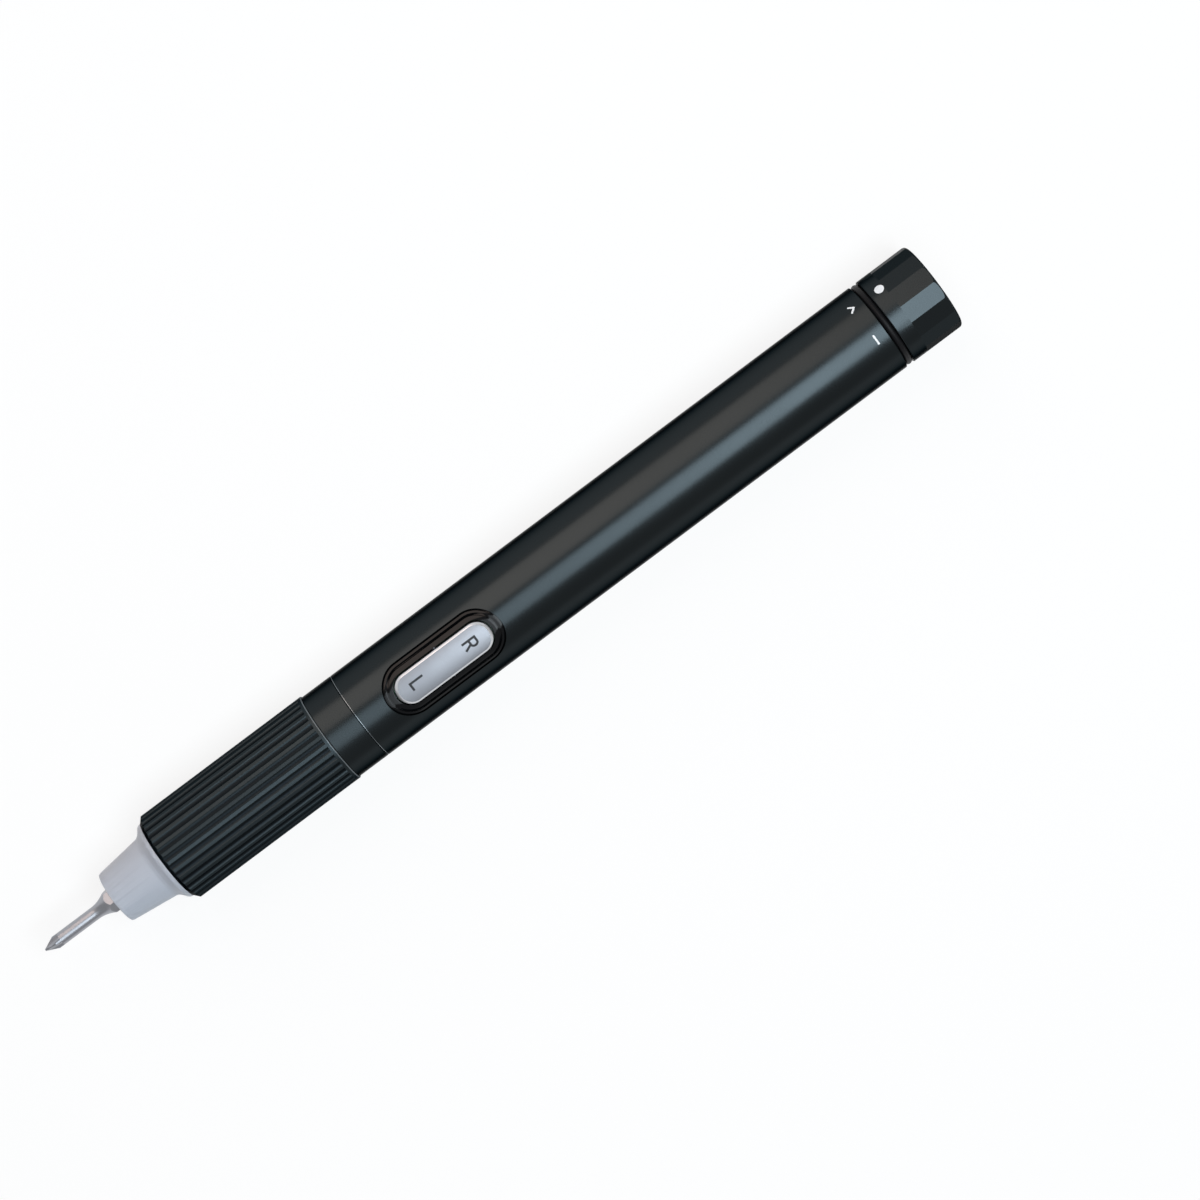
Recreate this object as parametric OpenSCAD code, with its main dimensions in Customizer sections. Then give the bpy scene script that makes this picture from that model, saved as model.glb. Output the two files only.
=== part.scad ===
// Pen-shaped electric torque screwdriver with a planetary gear motor.
// The spindle axis is X: the nose face is at x = 0, the bit points to -X, the tail cap is at +X.
// The rocker button is on top, at +Z. Sizes are in millimetres.

/* [Nose] */
// Length of the nose cone, from its face to the lip
nose_cone_len = 9.6; // [8:0.1:12]
// Length of the flared lip behind the cone
nose_lip_len = 1.8; // [1.4:0.1:3]
// Diameter of the nose face
nose_tip_d = 10.2; // [9.4:0.1:11]
// Diameter of the cone where the lip begins
nose_base_d = 12.3; // [11.6:0.1:13]
// Diameter of the lip against the grip collar
nose_lip_d = 15.7; // [15:0.1:16.4]
// Length of the spigot that holds the nose in the front housing
nose_spigot_len = 4.3; // [4:0.1:5]

/* [Grip collar] */
// Diameter over the ribs
collar_d = 17.7; // [17.4:0.1:19]
// Length of the ribbed collar
collar_len = 35.9; // [35:0.1:38]
// Number of ribs
rib_count = 32; // [24:1:40]
// Depth of the grooves between the ribs
groove_depth = 0.26; // [0.16:0.02:0.4]
// Radius of the round cutter that leaves each groove
groove_cut_r = 0.8; // [0.6:0.05:1]
// Length of the collar's front chamfer
collar_lead = 0.8; // [0.4:0.1:1.2]
// Plain rim left behind the grooves
rim_len = 0.7; // [0.4:0.1:2]

/* [Front housing] */
// Bore that holds the gearbox and the motor
housing_bore_d = 12.8; // [12.6:0.1:13]
// Wall of the housing tube under the collar
housing_wall = 0.9; // [0.7:0.05:1]
// Length of the smooth ring between the collar and the barrel
ring_len = 6.3; // [6:0.1:9]
// Length of the spigot that enters the barrel
housing_spigot_len = 5; // [4.6:0.1:5.2]

/* [Barrel] */
// Outside diameter of the barrel
barrel_d = 17.2; // [17:0.1:18.4]
// Chamfer on the barrel and ring edges
edge_chamfer = 0.12; // [0.05:0.01:0.2]

/* [Rocker button] */
// Distance from the front of the barrel to the rocker's pivot
rocker_from_barrel = 17.9; // [17.5:0.1:18.5]
// Length of the rocker's face
rocker_len = 20; // [18:0.1:20.4]
// Width of the rocker's face
rocker_w = 5.7; // [5:0.1:6]
// Height of the rocker above the barrel's surface
rocker_proud = 0.35; // [0.1:0.05:0.6]
// Tilt of the rocker to each side, in degrees
rocker_tilt = 2.5; // [1:0.1:3]
// Width of the bezel, over its outer lip
bezel_w = 10.2; // [9.6:0.1:10.6]
// Diameter of the pivot pin
pivot_d = 1; // [0.8:0.1:1.1]

/* [Tail cap] */
// Length of the tail cap
cap_len = 10.7; // [10:0.1:14]
// Number of grip flats on the tail cap
flat_count = 16; // [12:1:20]
// Plain length before the flats begin
cap_plain_len = 2.9; // [2:0.1:4]
// Gap between the barrel and the cap, where the seal ring shows
seal_gap = 1.5; // [1.3:0.1:2]
// Thickness of the cap's end wall
cap_end_t = 2; // [1.6:0.1:2.4]
// Depth that the cap's spigot enters the barrel
cap_spigot_len = 4.4; // [4:0.1:5]
// Turn between the open mark and the locked mark, in degrees
cap_turn = 47.5; // [30:0.5:60]

/* [Bit] */
// Width across the bit's hexagonal shank
bit_af = 4; // [4:0.1:4.2]
// Overall length of the bit
bit_len = 28; // [26:0.5:28.5]
// Length of the bit in front of the nose face
bit_reach = 15.5; // [14:0.1:17]
// Diameter of the bit's round neck
bit_neck_d = 2.45; // [2:0.05:2.8]

/* [Spindle] */
// Outside diameter of the bit sleeve
sleeve_d = 6.2; // [6:0.1:6.6]
// Diameter of the spindle in its bush
spindle_d = 5; // [4.4:0.1:5.4]
// Length of the bush
bush_len = 4.5; // [4:0.1:6]
// Thickness of the magnet behind the bit
magnet_t = 2; // [1.5:0.1:2.2]
// Diameter of the spindle lock's rollers
roller_d = 1.6; // [1.3:0.1:1.7]
// Length of the spindle lock's ring
lock_len = 4.2; // [3.6:0.1:5]

/* [Gearbox] */
// Gear module
gear_module = 0.3; // [0.29:0.005:0.305]
// Length of the gear teeth
gear_face = 2.6; // [2:0.1:3]
// Thickness of each planet carrier
carrier_t = 1.4; // [1.2:0.1:2]
// Diameter of the planet pins
planet_pin_d = 1.2; // [1:0.05:1.4]
// Thinning of each tooth flank, as a share of the module
flank_play = 0.13; // [0.1:0.01:0.16]

/* [Motor] */
// Diameter of the motor can
motor_d = 12; // [11.6:0.1:12.4]
// Length of the motor can
motor_len = 18; // [17:0.1:18.4]
// Thickness of the motor's end cap
motor_cap_t = 2; // [1.6:0.1:2.4]
// Diameter of the motor shaft
motor_shaft_d = 1; // [0.8:0.1:1.1]

/* [Cells and board] */
// Diameter of a size AAA cell
cell_d = 10.4; // [9.8:0.1:10.5]
// Length of a size AAA cell, with its stud
cell_len = 44.5; // [43.3:0.1:44.5]
// Spare length behind the button's bezel, before the front contact
bay_spare = 0.2; // [0:0.1:20]
// Length of the fitted cell spring
spring_len = 2.2; // [2:0.1:4]
// Gap between the cells and the tube round them
tube_play = 0.3; // [0.2:0.05:0.4]
// Thickness of the circuit boards
board_t = 1; // [0.8:0.1:1.2]
// Width of the control board
board_w = 11.4; // [9:0.1:12]

/* [Clearances] */
// Radial gap of a part that is pressed or cemented in place
seat_gap = 0.02; // [0.01:0.01:0.04]
// Radial gap of a part that runs or turns in a bore
run_gap = 0.03; // [0.02:0.005:0.05]
// Gap beside or behind a part that moves
free_gap = 0.2; // [0.15:0.01:0.25]

/* [Hidden] */
$fn = 96;

// Positions along the axis, from the nose face to the tail
collar_x = nose_cone_len + nose_lip_len;
ring_x = collar_x + collar_len;
barrel_x = ring_x + ring_len;
rocker_x = barrel_x + rocker_from_barrel;
bezel_len = rocker_len + bezel_w - rocker_w;

// The two cells set the barrel's length: front contact, cells, spring, and the cap's floor
touch_gap = 0.05;
contact_t = 0.8;
cap_contact_t = 1.4;
contact_x = rocker_x + bezel_len / 2 + bay_spare;
front_cell_x = contact_x + contact_t + touch_gap;
rear_cell_x = front_cell_x + cell_len + touch_gap;
cap_contact_x = rear_cell_x + cell_len + spring_len;
cap_floor_x = cap_contact_x + cap_contact_t + touch_gap;
tail_x = cap_floor_x + cap_end_t;
cap_x = tail_x - cap_len;
barrel_end = cap_x - seal_gap;

// Gear train, from the bush back to the motor
bush_x = collar_x + nose_spigot_len;
lock_x = bush_x + bush_len + free_gap;
ring_gear_x = lock_x + lock_len + free_gap / 2;
output_x = ring_gear_x + free_gap;
second_x = output_x + carrier_t + free_gap;
first_disc_x = second_x + gear_face + free_gap;
first_x = first_disc_x + carrier_t + free_gap;
plate_x = first_x + gear_face + 2 * free_gap;
plate_t = 1.2;
motor_x = plate_x + plate_t;
motor_cap_x = motor_x + motor_len;
motor_end = motor_cap_x + motor_cap_t;
housing_end = barrel_x + housing_spigot_len;

// Housing and barrel radii
housing_r = housing_bore_d / 2;
housing_out_r = housing_r + housing_wall;
barrel_r = barrel_d / 2;
barrel_bore_r = housing_out_r + seat_gap;

// Gears: both stages share one ring gear and use the same three tooth counts
sun_teeth = 12;
planet_teeth = 12;
ring_teeth = sun_teeth + 2 * planet_teeth;
planet_count = 3;
pressure_angle = 20;
addendum = 0.8 * gear_module;
dedendum = 1.15 * gear_module;
sun_r = gear_module * sun_teeth / 2;
ring_r = gear_module * ring_teeth / 2;
planet_orbit = gear_module * (sun_teeth + planet_teeth) / 2;
carrier_r = ring_r - addendum - free_gap;
pin_r = planet_pin_d / 2;

// Rocker, bezel and board heights
rocker_top_r = barrel_r + rocker_proud;
rocker_crown_r = 14;
rocker_edge = 0.25;
bezel_recess = 0.12;
bezel_r = barrel_r - bezel_recess;
bezel_floor_z = 5.1;
pivot_z = 6.1;
rocker_under_z = 6.9;
post_x = rocker_len / 2 - 2.7;
post_bottom_z = 5.5;
post_r = 1.1;
dome_rest_gap = 0.08;
slit = 0.18 + (rocker_top_r - pivot_z) * sin(rocker_tilt);
board_top_z = 3.5;
board_z = board_top_z - board_t;
frame_x = housing_end + free_gap;

// Cells and their tube
cell_tube_bore_r = cell_d / 2 + tube_play;
stud_len = 1.2;
stud_r = 1.9;

// Tail cap spigot, bayonet lugs and seal
spigot_r = barrel_bore_r - run_gap - 0.05;
spigot_bore_r = cell_tube_bore_r + 0.1;
spigot_x = cap_x - seal_gap - cap_spigot_len;
lug_len = 1.4;
lug_reach = 0.6;
lug_half_w = 2;
lug_x = spigot_x + 0.6;
lug_angles = [90, 270];
seal_r = seal_gap / 2 - 0.04;
seal_ring_r = barrel_r - 0.12 - seal_r;
seal_seat_r = seal_ring_r - seal_r - seat_gap;

// Spindle
sleeve_x = 0.6;
sleeve_r = sleeve_d / 2;
spindle_r = spindle_d / 2;
sleeve_end = bush_x - free_gap;
bit_end = bit_len - bit_reach;
hex_gap = 0.05;
magnet_r = 1.95;
lock_bore_r = 5.2;
roller_r = roller_d / 2;
roller_orbit = lock_bore_r - roller_r - run_gap;
cam_flat = roller_orbit - roller_r - run_gap;
cam_r = cam_flat + 0.72;
claw_in_r = cam_r + 0.06;
claw_out_r = lock_bore_r - 0.1;
tenon_w = 2.6;
cam_x = lock_x + free_gap / 2;
cam_end = lock_x + lock_len - free_gap / 2;

// ---------------------------------------------------------------- shared forms

// Turns a shape that was drawn along Z so that it lies along X, from x
module on_axis(x = 0) {
    translate([x, 0, 0]) rotate([0, 90, 0]) children();
}

// Solid of revolution about X, from points given as [radius, x]
module turned(points) {
    on_axis() rotate_extrude() polygon(points);
}

// Round bar along X
module bar(r, x0, x1) {
    on_axis(x0) cylinder(r = r, h = x1 - x0);
}

// Tube along X
module tube(r_out, r_in, x0, x1) {
    turned([[r_in, x0], [r_out, x0], [r_out, x1], [r_in, x1]]);
}

// Tube along X whose two outer edges are chamfered
module chamfered_tube(r_out, r_in, x0, x1, c) {
    turned([
        [r_in, x0], [r_out - c, x0], [r_out, x0 + c],
        [r_out, x1 - c], [r_out - c, x1], [r_in, x1]
    ]);
}

// Flat oblong with round ends, along X, centred on the origin
module oblong(len, w) {
    square([len - w, w], center = true);
    for (side = [-1, 1]) translate([side * (len - w) / 2, 0]) circle(d = w);
}

// Oblong block that stands on z0, over the rocker's pivot
module oblong_block(len, w, z0, z1) {
    translate([rocker_x, 0, z0]) linear_extrude(z1 - z0) oblong(len, w);
}

// Box given by its two corners
module block(low, high) {
    translate(low) cube(high - low);
}

// Sector about X, as wide as twice the half angle, round -Z
module wedge(half, x0, x1) {
    far = 2 * barrel_r;
    intersection() {
        rotate([half - 90, 0, 0]) block([x0, -far, -far], [x1, far, 0]);
        rotate([90 - half, 0, 0]) block([x0, -far, -far], [x1, far, 0]);
    }
}

// Copies a shape round X
module around(count, first = 0) {
    for (i = [0 : count - 1]) rotate([first + i * 360 / count, 0, 0]) children();
}

// Points of an arc in a profile, as [radius, x]; angle 0 points outward and 90 to the tail
function arc_points(centre_r, centre_x, r, from, to) =
    [for (i = [0 : 4]) let (a = from + (to - from) * i / 4) [centre_r + r * cos(a), centre_x + r * sin(a)]];

function involute(a) = tan(a) * 180 / PI - a;

// Half of a tooth's angle at radius r; a flank is radial below the base circle
function tooth_half(r, teeth, play) =
    let (
        pitch_r = gear_module * teeth / 2,
        base_r = pitch_r * cos(pressure_angle),
        at = acos(min(1, base_r / max(r, base_r)))
    )
    90 / teeth + play / pitch_r * 180 / PI + involute(pressure_angle) - involute(at);

// Outline of a gear whose teeth reach from r_in to r_out, with a tooth centred at angle 0
function gear_outline(teeth, r_in, r_out, play) =
    let (
        base_r = gear_module * teeth / 2 * cos(pressure_angle),
        low = max(r_in, min(base_r, r_out)),
        radii = concat(r_in < low ? [r_in] : [], [for (i = [0 : 4]) low + (r_out - low) * i / 4])
    )
    [for (k = [0 : teeth - 1], side = [-1, 1], i = [0 : len(radii) - 1])
        let (
            r = radii[side < 0 ? i : len(radii) - 1 - i],
            a = k * 360 / teeth + side * tooth_half(r, teeth, play)
        )
        r * [cos(a), sin(a)]];

// Spur gear along X with a bore; turn sets where its teeth stand
module spur_gear(teeth, x, len, bore_r, turn = 0) {
    pitch_r = gear_module * teeth / 2;
    difference() {
        on_axis(x) rotate(turn) linear_extrude(len)
            polygon(gear_outline(teeth, pitch_r - dedendum, pitch_r + addendum, -flank_play * gear_module));
        if (bore_r > 0) bar(bore_r, x - 1, x + len + 1);
    }
}

// Puts a planet at its place on the carrier
module on_orbit(index) {
    rotate([index * 360 / planet_count, 0, 0]) translate([0, 0, -planet_orbit]) children();
}

function unit(v) = v / norm(v);

// Direction of a path at its point i
function heading(path, i) = unit(path[min(i + 1, len(path) - 1)] - path[max(i - 1, 0)]);

// Side vectors along a path, each carried on from the one before, so that the rings don't twist
function carried(path, side, i = 0) =
    i == len(path) ? []
    : let (dir = heading(path, i), s = unit(side - (side * dir) * dir)) concat([s], carried(path, s, i + 1));

// Ring of points round the path's point i
function ring_at(path, i, side, r, sides) =
    let (up = cross(heading(path, i), side))
    [for (k = [0 : sides - 1]) path[i] + r * (cos(k * 360 / sides) * side + sin(k * 360 / sides) * up)];

// Round wire through a list of points; side is any vector across its first stretch
module wire(path, r, side, sides = 8) {
    across = carried(path, side);
    points = [for (i = [0 : len(path) - 1]) each ring_at(path, i, across[i], r, sides)];
    walls = [for (i = [0 : len(path) - 2], k = [0 : sides - 1])
        let (a = i * sides + k, b = i * sides + (k + 1) % sides)
        [a, b, b + sides, a + sides]];
    ends = [
        [for (k = [0 : sides - 1]) sides - 1 - k],
        [for (k = [0 : sides - 1]) (len(path) - 1) * sides + k]
    ];
    polyhedron(points, concat(walls, ends));
}

// ---------------------------------------------------------------- nose and light

// Translucent cone that carries the light of the lamps round the bit
module nose_light_guide() {
    tip_r = nose_tip_d / 2;
    base_r = nose_base_d / 2;
    lip_r = nose_lip_d / 2;
    lip = nose_lip_len;
    fillet = 0.35;
    bore_r = sleeve_r + free_gap;
    lamp_room_x = nose_cone_len + 0.9;
    spigot_r = housing_r - seat_gap;
    color([0.72, 0.75, 0.79]) difference() {
        turned(concat(
            [[bore_r, 0.4], [bore_r + 0.4, 0], [tip_r - 0.35, 0], [tip_r - 0.1, 0.1], [tip_r, 0.4]],
            arc_points(base_r + fillet, nose_cone_len - fillet, fillet, 180, 116),
            arc_points(lip_r - lip / 2, nose_cone_len + 0.35 * lip + lip / 2, lip / 2, -64, 0),
            [
                [lip_r, collar_x], [spigot_r, collar_x], [spigot_r, bush_x],
                [lamp_room_r, bush_x], [lamp_room_r, lamp_room_x], [bore_r, lamp_room_x]
            ]
        ));
        block([led_board_x, -flex_w / 2 - 0.1, -housing_r - 1], [bush_x + 1, flex_w / 2 + 0.1, -lamp_room_r + 0.2]);
    }
}

lamp_room_r = 5.3;
led_board_t = 0.8;
led_board_x = bush_x - led_board_t;
lamp_orbit = 4.35;

// Ring board behind the nose
module led_board() {
    color([0.9, 0.92, 0.9]) tube(lamp_room_r - seat_gap, sleeve_r + free_gap, led_board_x, bush_x);
}

// Three lamps on the ring board
module led_lamps() {
    color([0.98, 0.93, 0.62]) around(3, 60)
        block([led_board_x - 0.8, -0.8, -lamp_orbit - 0.5], [led_board_x, 0.8, -lamp_orbit + 0.5]);
}

flex_w = 1.6;
flex_t = 0.15;
flex_slot = 0.45;

// Flat cable from the ring board to the control board, in a slot of the housing's bore
module led_flex() {
    low = -housing_r - flex_slot + 0.1;
    front = led_board_x + 0.3;
    back = frame_x + 1;
    half = flex_w / 2;
    color([0.8, 0.5, 0.15]) {
        block([front, -half, low], [back, half, low + flex_t]);
        block([front, -half, low], [front + flex_t, half, -lamp_room_r]);
        block([back - flex_t, -half, low], [back, half, board_z]);
    }
}

// ---------------------------------------------------------------- grip and housing

// Ribbed sleeve, trapped between the nose and the housing's ring
module grip_collar() {
    r = collar_d / 2;
    lip_r = nose_lip_d / 2;
    color([0.1, 0.11, 0.12]) difference() {
        turned([
            [housing_out_r + seat_gap, collar_x], [lip_r + 0.1, collar_x], [r, collar_x + collar_lead],
            [r, ring_x - edge_chamfer], [r - edge_chamfer, ring_x], [housing_out_r + seat_gap, ring_x]
        ]);
        around(rib_count)
            translate([0, 0, r + groove_cut_r - groove_depth])
                bar(groove_cut_r, collar_x - 1, ring_x - rim_len);
    }
}

// Inner tube with the smooth ring that shows behind the collar
module front_housing() {
    c = edge_chamfer;
    slot_half = flex_w / 2 + 0.1;
    color([0.11, 0.12, 0.13]) difference() {
        turned([
            [housing_r, collar_x], [housing_out_r, collar_x], [housing_out_r, ring_x],
            [barrel_r - c, ring_x], [barrel_r, ring_x + c], [barrel_r, barrel_x - c],
            [barrel_r - c, barrel_x], [housing_out_r, barrel_x], [housing_out_r, housing_end],
            [housing_r, housing_end]
        ]);
        block([led_board_x, -slot_half, -housing_r - flex_slot], [housing_end + 1, slot_half, 0]);
    }
}

// ---------------------------------------------------------------- spindle and its bearings

// Sintered bronze bush that carries the spindle
module front_bush() {
    color([0.66, 0.48, 0.28])
        tube(housing_r - seat_gap, spindle_r + run_gap, bush_x, bush_x + bush_len);
}

// Outer race of the spindle lock
module lock_ring() {
    color([0.55, 0.56, 0.58])
        tube(housing_r - seat_gap, lock_bore_r, lock_x, lock_x + lock_len);
}

// Bit sleeve, journal and square tenon, in one piece
module spindle() {
    tenon = tenon_w / 2;
    color([0.62, 0.63, 0.65]) difference() {
        union() {
            turned([
                [0, sleeve_x], [sleeve_r - 0.3, sleeve_x], [sleeve_r, sleeve_x + 0.3],
                [sleeve_r, sleeve_end], [0, sleeve_end]
            ]);
            bar(spindle_r, sleeve_end, cam_x);
            block([cam_x, -tenon, -tenon], [output_x + carrier_t - free_gap, tenon, tenon]);
        }
        on_axis(sleeve_x - 1) cylinder(r = (bit_af / 2 + hex_gap) / cos(30), h = bit_end + hex_gap - sleeve_x + 1, $fn = 6);
        bar(magnet_r, sleeve_x, bit_end + 2 * hex_gap + magnet_t);
    }
}

// Three-sided cam of the spindle lock, on the spindle's tenon
module lock_cam() {
    color([0.5, 0.51, 0.54]) difference() {
        bar(cam_r, cam_x, cam_end);
        around(3) block([cam_x - 1, -cam_r, cam_flat], [cam_end + 1, cam_r, cam_r + 1]);
        tenon_hole(cam_x - 1, cam_end + 1);
    }
}

// Square hole that takes the spindle's tenon
module tenon_hole(x0, x1) {
    half = tenon_w / 2 + seat_gap;
    block([x0, -half, -half], [x1, half, half]);
}

// Magnet that holds the bit by its end
module bit_magnet() {
    color([0.75, 0.76, 0.78]) bar(magnet_r - 0.01, bit_end + 2 * hex_gap, bit_end + 2 * hex_gap + magnet_t);
}

// Rollers that jam between the cam and the ring when the bit is turned by hand
module lock_rollers() {
    color([0.8, 0.8, 0.82]) around(3)
        translate([0, 0, roller_orbit]) bar(roller_r, lock_x + 0.3, lock_x + lock_len - 0.3);
}

// Carrier of the second stage, with the claws that push the rollers and the planet pins
module output_carrier() {
    claw_half = 42;
    color([0.45, 0.46, 0.48]) {
        difference() {
            bar(carrier_r, output_x, output_x + carrier_t);
            tenon_hole(output_x - 1, output_x + carrier_t - free_gap / 2);
        }
        around(3) intersection() {
            tube(claw_out_r, claw_in_r, cam_x + free_gap, output_x + carrier_t);
            wedge(claw_half, lock_x, second_x);
        }
        for (i = [0 : planet_count - 1]) on_orbit(i)
            bar(pin_r - run_gap, output_x + carrier_t, second_x + gear_face);
    }
}

// ---------------------------------------------------------------- gears

// Ring gear of both stages, with a plain bore round the output carrier
module ring_gear() {
    out_r = housing_r - seat_gap;
    x_end = plate_x;
    color([0.72, 0.71, 0.66]) difference() {
        bar(out_r, ring_gear_x, x_end);
        bar(ring_r + dedendum + free_gap / 2, ring_gear_x - 1, second_x - free_gap / 2);
        on_axis(second_x - free_gap / 2 - 0.01) rotate(180 / ring_teeth) linear_extrude(x_end - second_x + 1)
            polygon(gear_outline(ring_teeth, ring_r - addendum, ring_r + dedendum, flank_play * gear_module));
    }
}

// Carrier of the first stage, with the sun gear of the second stage on its front
module first_carrier() {
    color([0.5, 0.51, 0.53]) {
        bar(carrier_r, first_disc_x, first_disc_x + carrier_t);
        spur_gear(sun_teeth, second_x + 0.1, first_disc_x - second_x - 0.1, 0);
        for (i = [0 : planet_count - 1]) on_orbit(i)
            bar(pin_r - run_gap, first_disc_x + carrier_t, first_x + gear_face);
    }
}

// Planet gear on its orbit; half a tooth of turn puts it in mesh with the sun and the ring
module planet(index, x) {
    color([0.78, 0.72, 0.5]) on_orbit(index)
        spur_gear(planet_teeth, x, gear_face, pin_r, 180 / planet_teeth - index * 360 / planet_count);
}

// ---------------------------------------------------------------- motor

// Plate that closes the gearbox and carries the motor
module motor_plate() {
    color([0.6, 0.61, 0.62]) difference() {
        bar(housing_r - seat_gap, plate_x, motor_x);
        bar(motor_boss_r + 0.1, plate_x - 1, motor_x + 1);
        screws_at() bar(screw_r + 0.05, plate_x - 1, motor_x + 1);
        screws_at() bar(screw_head_r + 0.05, plate_x - 1, plate_x + screw_head_t);
    }
}

motor_boss_r = 2.1;
motor_boss_len = 0.8;
screw_r = 0.7;
screw_head_r = 1.2;
screw_head_t = 0.7;
screw_orbit = 4;
screw_len = 2.2;

module screws_at() {
    around(2) translate([0, 0, screw_orbit]) children();
}

// Two countersunk screws from the plate into the motor
module motor_screws() {
    color([0.35, 0.36, 0.38]) screws_at() difference() {
        union() {
            bar(screw_head_r, plate_x + 0.05, plate_x + screw_head_t);
            bar(screw_r, plate_x + screw_head_t, plate_x + screw_head_t + screw_len);
        }
        block([plate_x - 0.1, -screw_head_r * 0.7, -0.15], [plate_x + 0.35, screw_head_r * 0.7, 0.15]);
    }
}

can_wall = 0.6;
magnet_wall = 1.1;
magnet_half_w = 4;
motor_r = motor_d / 2;
rotor_x = motor_x + 4.2;
rotor_len = 8;
rotor_r = motor_r - can_wall - magnet_wall - 0.3;
commutator_x = motor_cap_x - 3.2;
commutator_len = 2.6;
commutator_r = 1.6;

// Drawn steel can with the front boss and bearing hole
module motor_can() {
    color([0.68, 0.69, 0.7]) difference() {
        union() {
            bar(motor_r, motor_x, motor_cap_x);
            bar(motor_boss_r, motor_x - motor_boss_len, motor_x);
        }
        bar(motor_r - can_wall, motor_x + 2.4, motor_cap_x + 1);
        bar(motor_shaft_d / 2 + run_gap, motor_x - motor_boss_len - 1, motor_x + 3);
        screws_at() bar(screw_r + 0.02, motor_x - 1, plate_x + screw_head_t + screw_len + 0.1);
    }
}

// Two arc magnets on the inside of the can
module motor_magnets() {
    r = motor_r - can_wall - seat_gap;
    color([0.25, 0.25, 0.27]) intersection() {
        tube(r, r - magnet_wall, rotor_x - 0.5, rotor_x + rotor_len + 0.5);
        block([motor_x, -magnet_half_w, -motor_r], [motor_end, magnet_half_w, motor_r]);
    }
}

// Plastic cap that closes the can and guides the brushes
module motor_end_cap() {
    brush_room_r = commutator_r + 1;
    brush_room_len = 0.3;
    rim_depth = 0.8;
    rim_t = 1;
    shaft_wall = 0.6;
    rim_r = motor_r - can_wall - seat_gap;
    color([0.16, 0.3, 0.24]) difference() {
        union() {
            bar(motor_r, motor_cap_x, motor_end);
            tube(rim_r, rim_r - rim_t, motor_cap_x - rim_depth, motor_cap_x);
        }
        bar(motor_shaft_d / 2 + run_gap, motor_cap_x - 1, motor_end - shaft_wall);
        bar(brush_room_r, motor_cap_x - 1, motor_cap_x + brush_room_len);
    }
}

// Two leaf brushes that press on the commutator
module motor_brushes() {
    leaf_z = commutator_r + run_gap;
    color([0.85, 0.6, 0.3]) around(2)
        block([commutator_x + 0.6, -0.8, leaf_z], [motor_cap_x + 0.3, 0.8, leaf_z + 0.2]);
}

// Two solder tabs on the end cap
module motor_terminals() {
    color([0.85, 0.75, 0.45]) around(2)
        block([motor_end, -0.75, 4.2], [motor_end + 1.7, 0.75, 4.5]);
}

// Red and black leads from the tabs to the control board
module motor_leads() {
    lead_r = 0.3;
    tab_z = 4.2 - lead_r;
    for (side = [-1, 1]) {
        color(side > 0 ? [0.75, 0.1, 0.1] : [0.08, 0.08, 0.08]) wire([
            [motor_end + 0.3, 0, side * tab_z],
            [motor_end + 1.2, 0, side * tab_z],
            [motor_end + 2, side * 0.8, side * tab_z * 0.8],
            [frame_x + 0.8, side * 2.4, side > 0 ? 1.7 : 0.6],
            [frame_x + 1.4, side * 3, 1.4],
            [frame_x + 2, side * 3, board_z - 0.6],
            [frame_x + 2, side * 3, board_z]
        ], lead_r, [0, 0, 1]);
    }
}

module motor_shaft() {
    color([0.8, 0.81, 0.83])
        bar(motor_shaft_d / 2, first_x + 0.1, motor_end - 0.8);
}

// Sun gear of the first stage, pressed on the motor shaft
module motor_pinion() {
    color([0.82, 0.66, 0.35])
        spur_gear(sun_teeth, first_x + 0.1, gear_face + 0.1, motor_shaft_d / 2);
}

// Laminated core with three poles
module armature_core() {
    hub_r = 1.4;
    pole_w = 1.3;
    shoe_t = 0.6;
    color([0.5, 0.5, 0.52]) difference() {
        on_axis(rotor_x) linear_extrude(rotor_len) {
            circle(r = hub_r);
            for (a = [0, 120, 240]) rotate(a) {
                translate([0, -pole_w / 2]) square([rotor_r - shoe_t / 2, pole_w]);
                intersection() {
                    difference() {
                        circle(r = rotor_r);
                        circle(r = rotor_r - shoe_t);
                    }
                    polygon([[0, 0], [10, 14], [10, -14]]);
                }
            }
        }
        bar(motor_shaft_d / 2, rotor_x - 1, rotor_x + rotor_len + 1);
    }
}

// Copper coils, one round each pole
module armature_windings() {
    core_half = 0.67;
    coil_t = 0.75;
    color([0.72, 0.38, 0.16]) around(3) difference() {
        block([rotor_x - coil_t, -core_half - coil_t, -rotor_r + 1],
            [rotor_x + rotor_len + coil_t, core_half + coil_t, -1.9]);
        block([rotor_x - 0.02, -core_half, -10], [rotor_x + rotor_len + 0.02, core_half, 10]);
    }
}

// Commutator with three copper segments
module commutator() {
    color([0.75, 0.42, 0.2]) difference() {
        tube(commutator_r, motor_shaft_d / 2, commutator_x, commutator_x + commutator_len);
        around(3) block([commutator_x - 1, -0.1, commutator_r - 0.4], [commutator_x + 2.2, 0.1, 3]);
    }
}

// ---------------------------------------------------------------- barrel and button

// Lug recess inside the barrel's rear end: an entry slot and a groove to turn in
module bayonet_recess() {
    depth_r = spigot_r + lug_reach + 0.1;
    side_gap = 0.15;
    half = asin((lug_half_w + side_gap) / spigot_r);
    difference() {
        for (a = lug_angles) {
            rotate([a + 180, 0, 0]) wedge(half, lug_x + lug_len / 2, barrel_end + 1);
            rotate([a + 180 + cap_turn / 2, 0, 0])
                wedge(half + 1 + cap_turn / 2, lug_x - side_gap, lug_x + lug_len + side_gap);
        }
        tube(4 * barrel_r, depth_r, lug_x - 1, barrel_end + 2);
    }
}

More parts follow.
